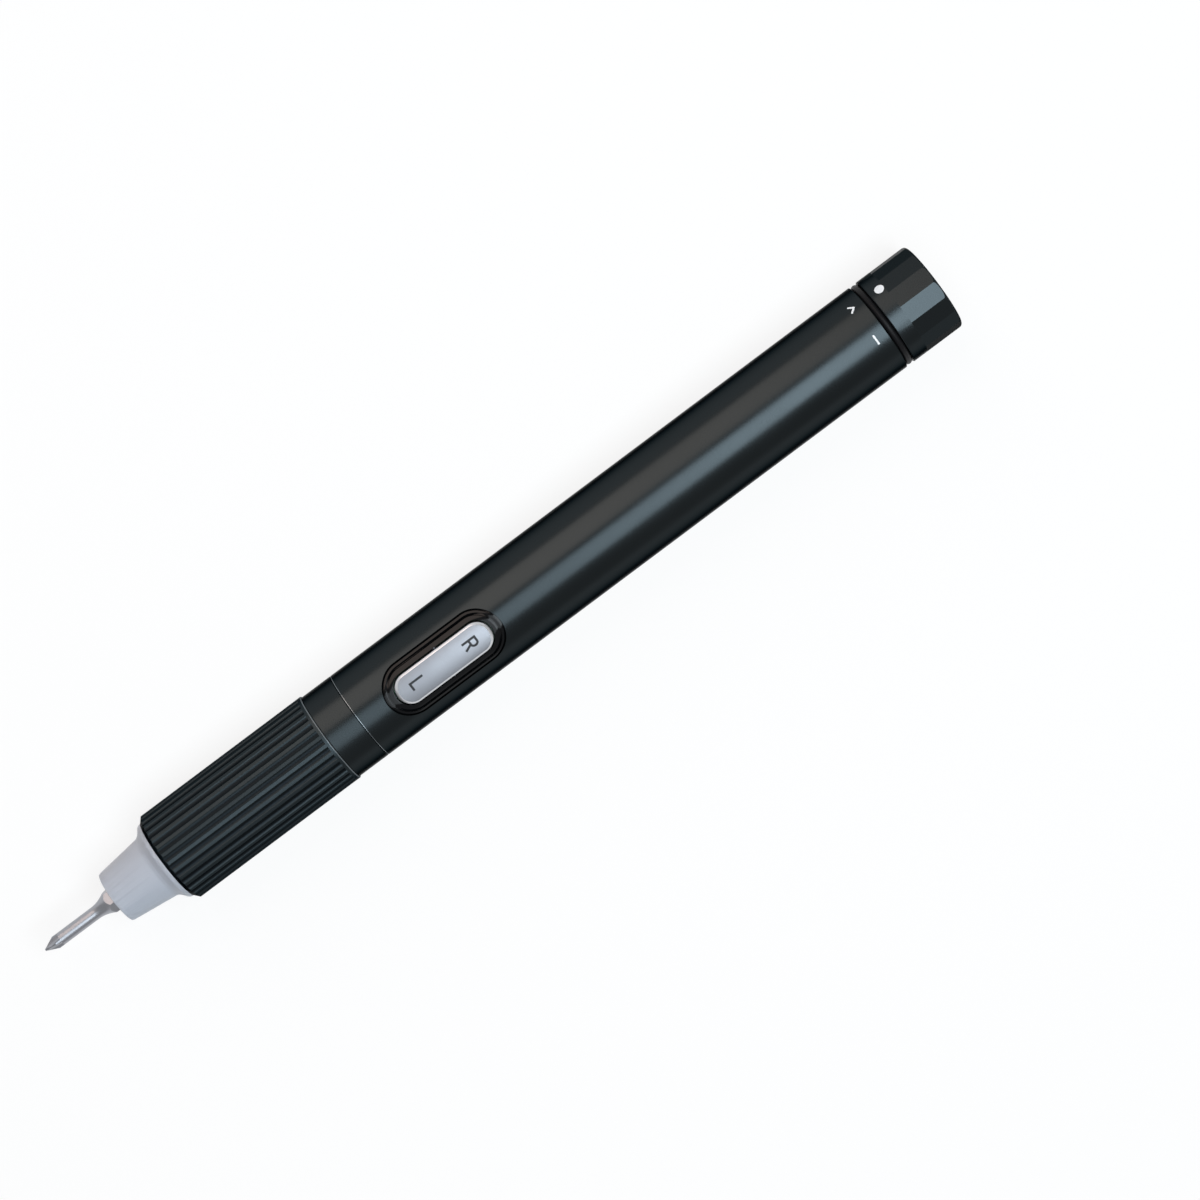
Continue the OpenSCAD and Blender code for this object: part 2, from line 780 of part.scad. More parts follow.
// Anodised aluminium tube with the oblong window for the button
module barrel() {
    color([0.1, 0.11, 0.12]) difference() {
        chamfered_tube(barrel_r, barrel_bore_r, barrel_x, barrel_end, edge_chamfer);
        oblong_block(bezel_len + 2 * seat_gap, bezel_w + 2 * seat_gap, 0, barrel_r + 1);
        bayonet_recess();
    }
}

// Groove round the bezel, between two distances in from its edge and down to a radius
module bezel_groove(from, to, floor_r) {
    difference() {
        oblong_block(bezel_len - 2 * from, bezel_w - 2 * from, bezel_floor_z, barrel_r + 1);
        oblong_block(bezel_len - 2 * to, bezel_w - 2 * to, 0, barrel_r + 2);
        bar(floor_r, barrel_x, barrel_end);
    }
}

// Glossy frame round the button: a low edge, a thin ridge, a trough and a broad ridge
module button_bezel() {
    edge = 0.33;
    ridge = 0.36;
    trough = 0.45;
    edge_r = barrel_r - 0.6;
    trough_r = barrel_r - 0.7;
    inner_len = rocker_len + 2 * slit;
    inner_w = rocker_w + 2 * slit;
    color([0.04, 0.04, 0.05]) difference() {
        intersection() {
            oblong_block(bezel_len, bezel_w, bezel_floor_z, barrel_r);
            bar(bezel_r, barrel_x, barrel_end);
        }
        oblong_block(inner_len, inner_w, 0, barrel_r + 1);
        bezel_groove(-1, edge, edge_r);
        bezel_groove(edge + ridge, edge + ridge + trough, trough_r);
        translate([rocker_x, 0, pivot_z]) rotate([90, 0, 0]) cylinder(d = pivot_d, h = 2 * pivot_half, center = true);
    }
}

pivot_half = bezel_w / 2 - 1.05;

// Steel pin that the rocker tilts on
module pivot_pin() {
    color([0.75, 0.76, 0.78]) translate([rocker_x, 0, pivot_z]) rotate([90, 0, 0])
        cylinder(d = pivot_d, h = 2 * pivot_half, center = true);
}

// Oblong block over the rocker's pivot whose top edge is chamfered, from z1 down to z_edge
module chamfered_oblong(len, w, z0, z_edge, z1) {
    half = w / 2;
    top = half - (z1 - z_edge);
    translate([rocker_x, 0, 0]) {
        rotate([90, 0, 90]) linear_extrude(len - w, center = true)
            polygon([[-half, z0], [half, z0], [half, z_edge], [top, z1], [-top, z1], [-half, z_edge]]);
        for (side = [-1, 1]) translate([side * (len - w) / 2, 0, 0]) rotate_extrude()
            polygon([[0, z0], [half, z0], [half, z_edge], [top, z1], [0, z1]]);
    }
}

// Rocker with a crowned face, a pivot boss and two posts for the domes
module rocker_button() {
    boss_half = 1.5;
    boss_w = 4.4;
    crown_drop = rocker_crown_r - sqrt(pow(rocker_crown_r, 2) - pow(rocker_w / 2, 2));
    color([0.78, 0.79, 0.82]) difference() {
        union() {
            intersection() {
                chamfered_oblong(rocker_len, rocker_w, rocker_under_z,
                    rocker_top_r - crown_drop - rocker_edge, rocker_top_r);
                translate([0, 0, rocker_top_r - rocker_crown_r]) bar(rocker_crown_r, barrel_x, barrel_end);
            }
            block([rocker_x - boss_half, -boss_w / 2, pivot_z], [rocker_x + boss_half, boss_w / 2, rocker_under_z]);
            translate([rocker_x, 0, pivot_z]) rotate([90, 0, 0])
                cylinder(d = 2 * pivot_d, h = boss_w, center = true);
            for (side = [-1, 1]) translate([rocker_x + side * post_x, 0, post_bottom_z])
                cylinder(r = post_r, h = rocker_under_z - post_bottom_z);
        }
        translate([rocker_x, 0, pivot_z]) rotate([90, 0, 0])
            cylinder(d = pivot_d + 2 * run_gap, h = 2 * barrel_r, center = true);
    }
}

// ---------------------------------------------------------------- board, cells and contacts

// Half-round tray that carries the control board
module inner_frame() {
    end_x = contact_x - touch_gap;
    far = 2 * barrel_r;
    ledge = 1.6;
    floor_z = -3.6;
    end_wall = 1.2;
    lead_half = 4;
    flex_half = flex_w / 2 + 0.1;
    color([0.2, 0.2, 0.22]) difference() {
        bar(barrel_bore_r - 2 * seat_gap, frame_x, end_x);
        block([frame_x - 1, -far, board_z - seat_gap], [end_x - end_wall, far, far]);
        block([frame_x + 1, ledge - board_w / 2, floor_z], [end_x - end_wall - 1, board_w / 2 - ledge, far]);
        block([frame_x - 1, -lead_half, floor_z], [frame_x + 1.5, lead_half, far]);
        block([end_x - 4, -far, bezel_floor_z - 0.1], [end_x + 1, far, far]);
        block([frame_x - 1, -flex_half, -far], [frame_x + 3, flex_half, floor_z + 0.6]);
    }
}

// Board with the motor driver and the two button contacts
module control_board() {
    end_x = contact_x - 1.35;
    color([0.05, 0.3, 0.16])
        block([frame_x + 0.2, -board_w / 2, board_z], [end_x, board_w / 2, board_top_z]);
}

// Silicone domes that return the rocker and close the contacts
module switch_domes() {
    height = post_bottom_z - board_top_z - dome_rest_gap;
    foot_r = 2.1;
    foot_w = 0.6;
    waist_z = 0.35 * height;
    crown_z = 0.6 * height;
    hollow_z = 0.25 * height;
    color([0.55, 0.56, 0.6]) for (side = [-1, 1])
        translate([rocker_x + side * post_x, 0, board_top_z]) rotate_extrude() polygon([
            [0, hollow_z], [post_r, hollow_z], [foot_r - foot_w, 0], [foot_r, 0], [foot_r - foot_w / 3, waist_z],
            [post_r + 0.05, crown_z], [post_r, height], [0, height]
        ]);
}

// Chip package on the board: its corner along the axis, its size, and the side it sits on
module chip(x, size, under) {
    translate([rocker_x + x, -size[1] / 2, under ? board_z - size[2] : board_top_z]) cube(size);
}

// Torque controller on top of the board, with the motor driver and the light driver under it
module driver_chips() {
    color([0.07, 0.07, 0.08]) {
        chip(-3, [6, 4, 1], false);
        chip(-8, [4, 3.2, 1.1], true);
        chip(2, [3, 2.8, 1.3], true);
    }
}

// Spring plate that meets the front cell's stud
module front_contact() {
    color([0.83, 0.78, 0.6]) difference() {
        bar(cell_d / 2, contact_x, contact_x + contact_t);
        bar(1.2, contact_x - 1, contact_x + 0.4);
    }
}

// Plastic tube that lines the barrel round the cells
module cell_tube() {
    color([0.24, 0.24, 0.26]) difference() {
        tube(barrel_bore_r - 2 * seat_gap, cell_tube_bore_r, contact_x, spigot_x - free_gap);
        oblong_block(bezel_len + 2 * free_gap, bezel_w + 2 * free_gap, 0, barrel_r);
    }
}

// One cell with its stud to the front
module cell(x) {
    turned([
        [0, x], [stud_r, x], [stud_r, x + stud_len], [cell_d / 2 - 0.6, x + stud_len],
        [cell_d / 2, x + stud_len + 0.6], [cell_d / 2, x + cell_len - 0.4],
        [cell_d / 2 - 0.4, x + cell_len], [0, x + cell_len]
    ]);
}

module front_cell() {
    color([0.2, 0.35, 0.6]) cell(front_cell_x);
}

module rear_cell() {
    color([0.2, 0.35, 0.6]) cell(rear_cell_x);
}

// ---------------------------------------------------------------- tail cap

// Disc that carries the spring and stays still while the cap turns
module cap_contact() {
    color([0.83, 0.78, 0.6]) bar(spigot_bore_r - 0.15, cap_contact_x, cap_contact_x + cap_contact_t);
}

// Coil spring between the contact disc and the rear cell
module cell_spring() {
    wire_r = 0.22;
    turns = 3;
    steps = 60;
    free = spring_len - 2 * wire_r - 0.02;
    color([0.8, 0.8, 0.82]) wire([for (i = [0 : steps])
        let (t = i / steps, a = 360 * turns * t, r = 4.2 - 1.6 * t)
        [cap_contact_x - wire_r - 0.01 - free * t, r * cos(a), r * sin(a)]], wire_r, [1, 0, 0], 6);
}

// Hollow cap with grip flats, a spigot and two bayonet lugs
module tail_cap() {
    flat_x = cap_x + cap_plain_len;
    apothem = barrel_r * cos(180 / flat_count);
    round_r = 0.7;
    bore_r = spigot_bore_r;
    index_turn = -cap_turn;
    color([0.1, 0.11, 0.12]) {
        difference() {
            turned(concat(
                [
                    [0, cap_floor_x], [bore_r, cap_floor_x], [bore_r, spigot_x], [spigot_r - 0.2, spigot_x],
                    [spigot_r, spigot_x + 0.2], [spigot_r, barrel_end + 0.02],
                    [seal_seat_r, barrel_end + 0.02], [seal_seat_r, cap_x],
                    [barrel_r - edge_chamfer, cap_x], [barrel_r, cap_x + edge_chamfer]
                ],
                [for (a = [0 : 15 : 90])
                    [barrel_r - round_r * (1 - cos(a)), tail_x - round_r * (1 - sin(a))]],
                [[0, tail_x]]
            ));
            rotate([index_turn, 0, 0]) around(flat_count)
                block([flat_x, -4, apothem], [tail_x + 1, 4, apothem + 4]);
        }
        for (a = lug_angles) rotate([a, 0, 0]) intersection() {
            tube(spigot_r + lug_reach, spigot_r - 0.3, lug_x, lug_x + lug_len);
            block([lug_x, -lug_half_w, 0], [lug_x + lug_len, lug_half_w, 20]);
        }
    }
}

// Seal ring that shows in the gap in front of the cap
module cap_seal() {
    color([0.02, 0.02, 0.02]) on_axis(barrel_end + seal_gap / 2) rotate_extrude()
        translate([seal_ring_r, 0]) circle(r = seal_r, $fn = 32);
}

// ---------------------------------------------------------------- bit

// Cross-point bit with a hexagonal shank that flares out of a round neck
module screwdriver_bit() {
    neck_r = bit_neck_d / 2;
    corner_r = bit_af / 2 / cos(30);
    flare_x = -4.6;
    flare_len = 3.4;
    cone_len = 2.3;
    tip_r = 0.18;
    flute_r = 1.1;
    flute_offset = 1.42;
    color([0.7, 0.71, 0.73]) difference() {
        intersection() {
            turned(concat(
                [[0, -bit_reach], [tip_r, -bit_reach], [neck_r, -bit_reach + cone_len]],
                [for (t = [0 : 0.1 : 1])
                    [neck_r + (corner_r - neck_r) * t * t, flare_x + flare_len * t]],
                [[corner_r, bit_end - 0.5], [corner_r - 0.5, bit_end], [0, bit_end]]
            ));
            on_axis(-bit_reach - 1) cylinder(r = corner_r, h = bit_len + 2, $fn = 6);
        }
        for (a = [45 : 90 : 315]) rotate([a, 0, 0])
            translate([-bit_reach - 0.2, 0, flute_offset]) rotate([0, 83, 0])
                cylinder(r = flute_r, h = 7, center = true);
    }
}

// ---------------------------------------------------------------- nodes

nose_light_guide();
led_board();
led_lamps();
led_flex();
grip_collar();
front_housing();
front_bush();
lock_ring();
ring_gear();
motor_plate();
motor_screws();
motor_can();
motor_magnets();
motor_end_cap();
motor_brushes();
motor_terminals();
motor_leads();
barrel();
button_bezel();
pivot_pin();
inner_frame();
control_board();
switch_domes();
driver_chips();
front_contact();
cell_tube();
front_cell();
rear_cell();
rocker_button();
spindle();
bit_magnet();
lock_cam();
lock_rollers();
output_carrier();
screwdriver_bit();
first_carrier();
planet(0, first_x);  // first_planet_a
planet(1, first_x);  // first_planet_b
planet(2, first_x);  // first_planet_c
planet(0, second_x);  // second_planet_a
planet(1, second_x);  // second_planet_b
planet(2, second_x);  // second_planet_c
motor_shaft();
motor_pinion();
armature_core();
armature_windings();
commutator();
cap_contact();
cell_spring();
tail_cap();
cap_seal();
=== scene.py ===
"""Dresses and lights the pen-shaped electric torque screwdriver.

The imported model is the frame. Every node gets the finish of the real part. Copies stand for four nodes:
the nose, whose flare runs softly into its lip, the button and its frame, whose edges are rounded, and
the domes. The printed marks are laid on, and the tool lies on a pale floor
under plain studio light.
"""

import logging
import math
from dataclasses import dataclass, field, replace
from enum import Enum
from typing import ClassVar

import bmesh
import bpy
from mathutils import Matrix, Vector


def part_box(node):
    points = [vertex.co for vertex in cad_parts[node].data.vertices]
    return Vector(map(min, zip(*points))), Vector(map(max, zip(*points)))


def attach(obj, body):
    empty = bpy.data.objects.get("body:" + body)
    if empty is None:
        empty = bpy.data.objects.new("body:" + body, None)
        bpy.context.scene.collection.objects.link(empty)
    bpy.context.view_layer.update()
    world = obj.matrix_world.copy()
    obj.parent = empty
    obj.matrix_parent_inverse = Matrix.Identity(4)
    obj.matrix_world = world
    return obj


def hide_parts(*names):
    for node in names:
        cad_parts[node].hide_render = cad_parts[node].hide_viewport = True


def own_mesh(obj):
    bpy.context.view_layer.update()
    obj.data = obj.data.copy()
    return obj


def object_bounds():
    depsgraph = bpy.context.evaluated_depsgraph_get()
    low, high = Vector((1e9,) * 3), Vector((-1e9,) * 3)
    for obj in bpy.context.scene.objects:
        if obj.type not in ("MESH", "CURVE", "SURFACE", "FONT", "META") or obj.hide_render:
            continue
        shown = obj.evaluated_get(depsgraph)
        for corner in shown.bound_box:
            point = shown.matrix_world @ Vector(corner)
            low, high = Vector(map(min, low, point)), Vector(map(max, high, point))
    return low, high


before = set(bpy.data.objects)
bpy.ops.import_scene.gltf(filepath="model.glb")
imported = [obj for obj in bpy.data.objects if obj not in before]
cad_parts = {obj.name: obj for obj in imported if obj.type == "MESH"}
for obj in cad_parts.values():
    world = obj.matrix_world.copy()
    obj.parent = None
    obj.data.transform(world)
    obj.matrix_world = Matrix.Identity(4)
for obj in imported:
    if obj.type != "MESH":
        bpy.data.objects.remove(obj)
CAD_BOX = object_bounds()

LOG = logging.getLogger("torque_screwdriver")
MM = 0.001
SMOOTH_BELOW = math.radians(28)
STROKE_CUTS = 3


# ---------------------------------------------------------------- small helpers


def linear(code: str) -> tuple[float, float, float, float]:
    """Turn an sRGB hex code into a linear colour.

    Args:
        code: Colour as "#rrggbb".

    Returns:
        Red, green, blue and an alpha of one.
    """
    parts = [int(code[i : i + 2], 16) / 255 for i in (1, 3, 5)]
    return (*[p / 12.92 if p <= 0.04045 else ((p + 0.055) / 1.055) ** 2.4 for p in parts], 1.0)


def add_node(
    tree: bpy.types.NodeTree,
    kind: str,
    settings: dict[str, object] | None = None,
    inputs: dict[int | str, object] | None = None,
) -> bpy.types.Node:
    """Add one shader node, set it up and link it.

    Args:
        tree: Node tree that the node goes into.
        kind: Blender's name for the node type.
        settings: Values for the node's own settings.
        inputs: Socket name or number, with a value or the output socket that feeds it.

    Returns:
        The new node.
    """
    node = tree.nodes.new(kind)
    for name, value in (settings or {}).items():
        setattr(node, name, value)
    for name, value in (inputs or {}).items():
        if isinstance(value, bpy.types.NodeSocket):
            tree.links.new(value, node.inputs[name])
        else:
            node.inputs[name].default_value = value
    return node


def calculate(tree: bpy.types.NodeTree, operation: str, *values: object) -> bpy.types.NodeSocket:
    """Add one Math node.

    Args:
        tree: Node tree that the node goes into.
        operation: Blender's name for the operation.
        values: The operands in order, each a number or an output socket.

    Returns:
        The node's result.
    """
    return add_node(tree, "ShaderNodeMath", {"operation": operation}, dict(enumerate(values))).outputs[0]


def blend(
    tree: bpy.types.NodeTree, factor: bpy.types.NodeSocket, first: object, second: object
) -> bpy.types.NodeSocket:
    """Mix two colours.

    Args:
        tree: Node tree that the node goes into.
        factor: Share of the second colour.
        first: Colour, or the output socket that gives it.
        second: Colour, or the output socket that gives it.

    Returns:
        The mixed colour.
    """
    sockets = {"Factor": factor, 6: first, 7: second}
    return add_node(tree, "ShaderNodeMix", {"data_type": "RGBA"}, sockets).outputs[2]


def ramp(
    tree: bpy.types.NodeTree,
    value: bpy.types.NodeSocket,
    given: tuple[float, float],
    wanted: tuple[float, float],
) -> bpy.types.NodeSocket:
    """Map one range of values evenly to another and hold the ends.

    Args:
        tree: Node tree that the node goes into.
        value: The incoming value.
        given: Two incoming values.
        wanted: What comes out at each of them.

    Returns:
        The outgoing value.
    """
    sockets = {0: value, 1: given[0], 2: given[1], 3: wanted[0], 4: wanted[1]}
    return add_node(tree, "ShaderNodeMapRange", {}, sockets).outputs[0]


def deselect_all() -> None:
    """Leave object mode with nothing selected."""
    if bpy.context.object and bpy.context.object.mode != "OBJECT":
        bpy.ops.object.mode_set(mode="OBJECT")
    bpy.ops.object.select_all(action="DESELECT")


def select_only(piece: bpy.types.Object) -> None:
    """Select one object and make it the active one."""
    deselect_all()
    piece.select_set(True)
    bpy.context.view_layer.objects.active = piece


def apply_modifier(piece: bpy.types.Object, kind: str, settings: dict[str, object]) -> None:
    """Add a modifier to a piece and apply it.

    Args:
        piece: The mesh object.
        kind: Blender's name for the modifier type.
        settings: Values for the modifier's settings.
    """
    select_only(piece)
    modifier = piece.modifiers.new(kind.lower(), kind)
    for name, value in settings.items():
        setattr(modifier, name, value)
    bpy.ops.object.modifier_apply(modifier=modifier.name)


def settle(piece: bpy.types.Object) -> None:
    """Move a piece's place, turn and scale into its mesh, with its faces outward."""
    select_only(piece)
    bpy.ops.object.transform_apply(location=True, rotation=True, scale=True)
    bpy.ops.object.mode_set(mode="EDIT")
    bpy.ops.mesh.select_all(action="SELECT")
    bpy.ops.mesh.normals_make_consistent(inside=False)
    bpy.ops.object.mode_set(mode="OBJECT")


# ---------------------------------------------------------------- finishes


class Axis(Enum):
    """Direction that a banded pattern runs across."""

    ALONG = 0
    ACROSS = 1
    UP = 2


@dataclass(frozen=True)
class Bands:
    """Regular bands in a finish, such as laminations or the turns of a coil, and thin painted highlights at
    the edges of the barrel and the collar.

    Attributes:
        axis: Direction across the bands.
        pitch_mm: Distance from one band to the next.
        share: Part of the pitch that the band's own colour takes.
        colour: Colour of the band.
        start_mm: Where the first band begins.
        raised_mm: Height of the band above the rest.
    """

    axis: Axis
    pitch_mm: float
    share: float
    colour: str
    start_mm: float = 0.0
    raised_mm: float = 0.0


@dataclass(frozen=True)
class GrooveShade:
    """Grooves along a round piece, whose floors are duller than the ribs between them.

    Attributes:
        floor_mm: Radius at the bottom of the grooves.
        crest_mm: Radius at the top of the ribs.
        colour: Colour of the painted shade at the bottom.
    """

    floor_mm: float
    crest_mm: float
    colour: str


@dataclass(frozen=True)
class Finish:
    """One real material with the marks that its making leaves.

    Attributes:
        name: Common name and process.
        colour: Main sRGB colour.
        shade: Colour that the grain blends in.
        metallic: One for bare or plated metal.
        roughness: Mean roughness.
        spread: Range of roughness over the surface.
        ior: Index of refraction.
        grain_mm: Size of the finest marks along X, Y and Z.
        relief_mm: Height of the finest marks.
        blotch_mm: Size of the slow changes left by handling or by the process.
        bands: Regular bands, where the material has them, or a thin band of painted highlight at an edge.
        groove_shade: Painted shade on the floors of grooves round the tool's axis, where the piece has them.
        constants: Values for other sockets of the shader.
        fine_detail: Layers of the fine noise.
        slow_detail: Layers of the slow noise.
        noise_range: Range that the two noises together run over.
        least_relief_mm: Relief that a band's height is measured against when the finish has none.
    """

    name: str
    colour: str
    shade: str
    metallic: float = 0.0
    roughness: float = 0.5
    spread: float = 0.1
    ior: float = 1.5
    grain_mm: tuple[float, float, float] = (0.25, 0.25, 0.25)
    relief_mm: float = 0.004
    blotch_mm: float = 7.0
    bands: Bands | None = None
    groove_shade: GrooveShade | None = None
    constants: tuple[tuple[str, object], ...] = ()
    fine_detail: ClassVar[float] = 3.0
    slow_detail: ClassVar[float] = 2.0
    noise_range: ClassVar[tuple[float, float]] = (0.6, 1.4)
    least_relief_mm: ClassVar[float] = 1e-4

    def make(self) -> bpy.types.Material:
        """Build the material, or return it if it is already built.

        Returns:
            The material.
        """
        if self.name in bpy.data.materials:
            return bpy.data.materials[self.name]
        material = bpy.data.materials.new(self.name)
        material.use_nodes = True
        tree = material.node_tree
        shader = tree.nodes["Principled BSDF"]
        place = add_node(tree, "ShaderNodeTexCoord").outputs["Object"]
        fine = self._noise(tree, place, self.grain_mm, self.fine_detail)
        slow = self._noise(tree, place, (self.blotch_mm,) * 3, self.slow_detail)
        colour = blend(tree, fine, linear(self.colour), linear(self.shade))
        height = fine
        # Painted shade: a darker colour on the groove floors, set by radius.
        if self.groove_shade:
            colour = self._paint_groove_shade(tree, place, colour)
        if self.bands:
            colour, height = self._banded(tree, place, colour, fine)
        tree.links.new(colour, shader.inputs["Base Color"])
        both = calculate(tree, "ADD", fine, slow)
        smoothest, dullest = self.roughness - self.spread / 2, self.roughness + self.spread / 2
        rough = ramp(tree, both, self.noise_range, (smoothest, dullest))
        tree.links.new(rough, shader.inputs["Roughness"])
        bump = add_node(
            tree,
            "ShaderNodeBump",
            {},
            {"Height": height, "Strength": 1.0, "Distance": self.relief_mm * MM},
        ).outputs[0]
        tree.links.new(bump, shader.inputs["Normal"])
        shader.inputs["Metallic"].default_value = self.metallic
        if self.metallic < 1:
            shader.inputs["IOR"].default_value = self.ior
        for name, value in self.constants:
            shader.inputs[name].default_value = value
        return material

    @staticmethod
    def _noise(
        tree: bpy.types.NodeTree, place: bpy.types.NodeSocket, size_mm: tuple[float, ...], detail: float
    ) -> bpy.types.NodeSocket:
        """Add a noise whose cells have the given sizes.

        Args:
            tree: Node tree of the material.
            place: Object coordinates.
            size_mm: Size of a cell along X, Y and Z.
            detail: Number of finer layers.

        Returns:
            The noise's value, from 0 to 1.
        """
        mapping = add_node(
            tree, "ShaderNodeMapping", {}, {"Vector": place, "Scale": [1 / (s * MM) for s in size_mm]}
        )
        noise = add_node(
            tree, "ShaderNodeTexNoise", {}, {"Vector": mapping.outputs[0], "Scale": 1.0, "Detail": detail}
        )
        return noise.outputs["Fac"]

    def _paint_groove_shade(
        self, tree: bpy.types.NodeTree, place: bpy.types.NodeSocket, colour: bpy.types.NodeSocket
    ) -> bpy.types.NodeSocket:
        """Paint shade on the floors of the grooves by blending the colour towards a darker one.

        Args:
            tree: Node tree of the material.
            place: Object coordinates.
            colour: The plain colour.

        Returns:
            The colour with painted shade in the grooves.
        """
        groove_shade = self.groove_shade
        across = add_node(tree, "ShaderNodeVectorMath", {"operation": "MULTIPLY"}, {0: place, 1: (0, 1, 1)})
        radius = add_node(
            tree, "ShaderNodeVectorMath", {"operation": "LENGTH"}, {0: across.outputs[0]}
        ).outputs["Value"]
        share = ramp(tree, radius, (groove_shade.floor_mm * MM, groove_shade.crest_mm * MM), (1.0, 0.0))
        return blend(tree, share, colour, linear(groove_shade.colour))

    def _banded(
        self,
        tree: bpy.types.NodeTree,
        place: bpy.types.NodeSocket,
        colour: bpy.types.NodeSocket,
        fine: bpy.types.NodeSocket,
    ) -> tuple[bpy.types.NodeSocket, bpy.types.NodeSocket]:
        """Lay the bands over the plain colour.

        Args:
            tree: Node tree of the material.
            place: Object coordinates.
            colour: The plain colour.
            fine: The fine grain.

        Returns:
            The banded colour and the height for the bump.
        """
        bands = self.bands
        part = add_node(tree, "ShaderNodeSeparateXYZ", {}, {0: place}).outputs[bands.axis.value]
        per_metre, first = 1 / (bands.pitch_mm * MM), -bands.start_mm / bands.pitch_mm
        cycle = calculate(tree, "FRACT", calculate(tree, "MULTIPLY_ADD", part, per_metre, first))
        inside = calculate(tree, "LESS_THAN", cycle, bands.share)
        mixed = blend(tree, inside, colour, linear(bands.colour))
        rise = bands.raised_mm / max(self.relief_mm, self.least_relief_mm)
        return mixed, calculate(tree, "MULTIPLY_ADD", inside, rise, fine)


# Tint of the mirror-like edge of dyed metal, which keeps a round piece dark towards its sides.
DARK_EDGE = ("Specular Tint", linear("#a0a0a0"))
# Bead-blasted tube, dyed black and anodised: a satin that holds one soft bluish band of light, with a
# fine even grain, and stays dark towards its edges.
ANODISED_TUBE = Finish(
    "anodised_aluminium_blasted", "#2c3133", "#272b2d", 1.0, 0.27, 0.06,
    grain_mm=(0.09, 0.09, 0.09), relief_mm=0.0012, blotch_mm=14,
    constants=(DARK_EDGE,),
)
# The barrel's front end carries a thin lighter band, a painted highlight where its chamfer catches the
# light.
TUBE_WITH_PAINTED_GLINT = replace(
    ANODISED_TUBE,
    name="anodised_aluminium_painted_glint",
    bands=Bands(Axis.ALONG, 400, 0.0007, "#8b9296", start_mm=53.5),
)
# The same alloy turned and grooved before it was dyed: a little rougher, with rings from the tool,
# painted shade on the groove floors and a painted highlight along the rear edge.
ANODISED_RIBS = Finish(
    "anodised_aluminium_turned", "#303639", "#293033", 1.0, 0.4, 0.08,
    grain_mm=(0.12, 1.2, 1.2), relief_mm=0.002, blotch_mm=10,
    # Painted shade on the groove floors.
    groove_shade=GrooveShade(8.59, 8.82, "#171b1e"),
    # Painted highlight: a thin lighter band along the collar's rear edge.
    bands=Bands(Axis.ALONG, 400, 0.0005, "#6d7478", start_mm=47.12),
    constants=(DARK_EDGE,),
)
# Polycarbonate moulded against a frosted tool face: pale, cloudy, light passes through its wall.
FROSTED_POLYCARBONATE = Finish(
    "moulded_frosted_polycarbonate", "#babec7", "#b0b4bd", 0.0, 0.42, 0.08, ior=1.585,
    grain_mm=(0.15, 0.15, 0.15), relief_mm=0.002, blotch_mm=6,
    constants=(
        ("Specular IOR Level", 0.3),
        ("Subsurface Weight", 0.6),
        ("Subsurface Radius", (1.0, 1.0, 1.0)),
        ("Subsurface Scale", 0.0015),
    ),
)
# Polished ABS: near black with sharp reflections.
GLOSS_ABS = Finish(
    "polished_black_abs", "#07080a", "#0a0b0d", 0.0, 0.1, 0.05, ior=1.53,
    grain_mm=(0.8, 0.8, 0.8), relief_mm=0.001, blotch_mm=5,
    constants=(("Specular IOR Level", 0.15),),
)
# Fine-blasted and clear-anodised aluminium: a bright, dry silver with a very fine sparkle.
SATIN_ALUMINIUM = Finish(
    "satin_aluminium_blasted", "#818388", "#797b80", 1.0, 0.48, 0.08,
    grain_mm=(0.1, 0.1, 0.1), relief_mm=0.0015, blotch_mm=6,
)
# Painted highlight on the button's rim: the same metal, painted brighter and smoother where the rim catches
# the light.
RIM_HIGHLIGHT_ALUMINIUM = Finish(
    "aluminium_painted_rim_highlight", "#d6d8dc", "#cacccf", 1.0, 0.3, 0.06,
    grain_mm=(0.2, 0.2, 0.2), relief_mm=0.0005, blotch_mm=6,
)
# Nickel plate on a ground bit: fine grinding lines round the axis and soft grey reflections.
NICKEL_PLATE = Finish(
    "nickel_plated_ground_steel", "#a3a5ab", "#989aa0", 1.0, 0.3, 0.06,
    grain_mm=(0.6, 0.9, 0.9), relief_mm=0.0001, blotch_mm=4,
)
# Hardened and ground steel: grey with lines round the axis from the wheel.
GROUND_STEEL = Finish(
    "hardened_ground_steel", "#8e9196", "#7d8085", 1.0, 0.3, 0.1,
    grain_mm=(0.06, 0.9, 0.9), relief_mm=0.001, blotch_mm=5,
)
# Pressed and sintered steel: dull grey with open pores.
SINTERED_STEEL = Finish(
    "sintered_steel", "#77787b", "#5d5e61", 1.0, 0.52, 0.16,
    grain_mm=(0.16, 0.16, 0.16), relief_mm=0.006, blotch_mm=3,
)
# Die-cast zinc: pale, slightly warm grey with flow marks.
DIE_CAST_ZINC = Finish(
    "die_cast_zinc", "#a3a29c", "#8f8e88", 1.0, 0.42, 0.14,
    grain_mm=(0.5, 0.35, 0.35), relief_mm=0.003, blotch_mm=4,
)
# Sintered bronze soaked in oil: brown-gold, darker where the pores are wet.
OILED_BRONZE = Finish(
    "sintered_bronze_oiled", "#b08a56", "#84643a", 1.0, 0.38, 0.16,
    grain_mm=(0.14, 0.14, 0.14), relief_mm=0.004, blotch_mm=3,
)
# Machined brass: bright yellow with fine cutter lines.
MACHINED_BRASS = Finish(
    "machined_brass", "#d2b36a", "#bd9b52", 1.0, 0.25, 0.1,
    grain_mm=(0.06, 0.5, 0.5), relief_mm=0.001, blotch_mm=4,
)
# Nickel on a sintered magnet: bright and slightly pebbled.
NICKEL_MAGNET = Finish(
    "nickel_plated_magnet", "#c2c4c8", "#b1b3b8", 1.0, 0.2, 0.1,
    grain_mm=(0.3, 0.3, 0.3), relief_mm=0.002, blotch_mm=2,
)
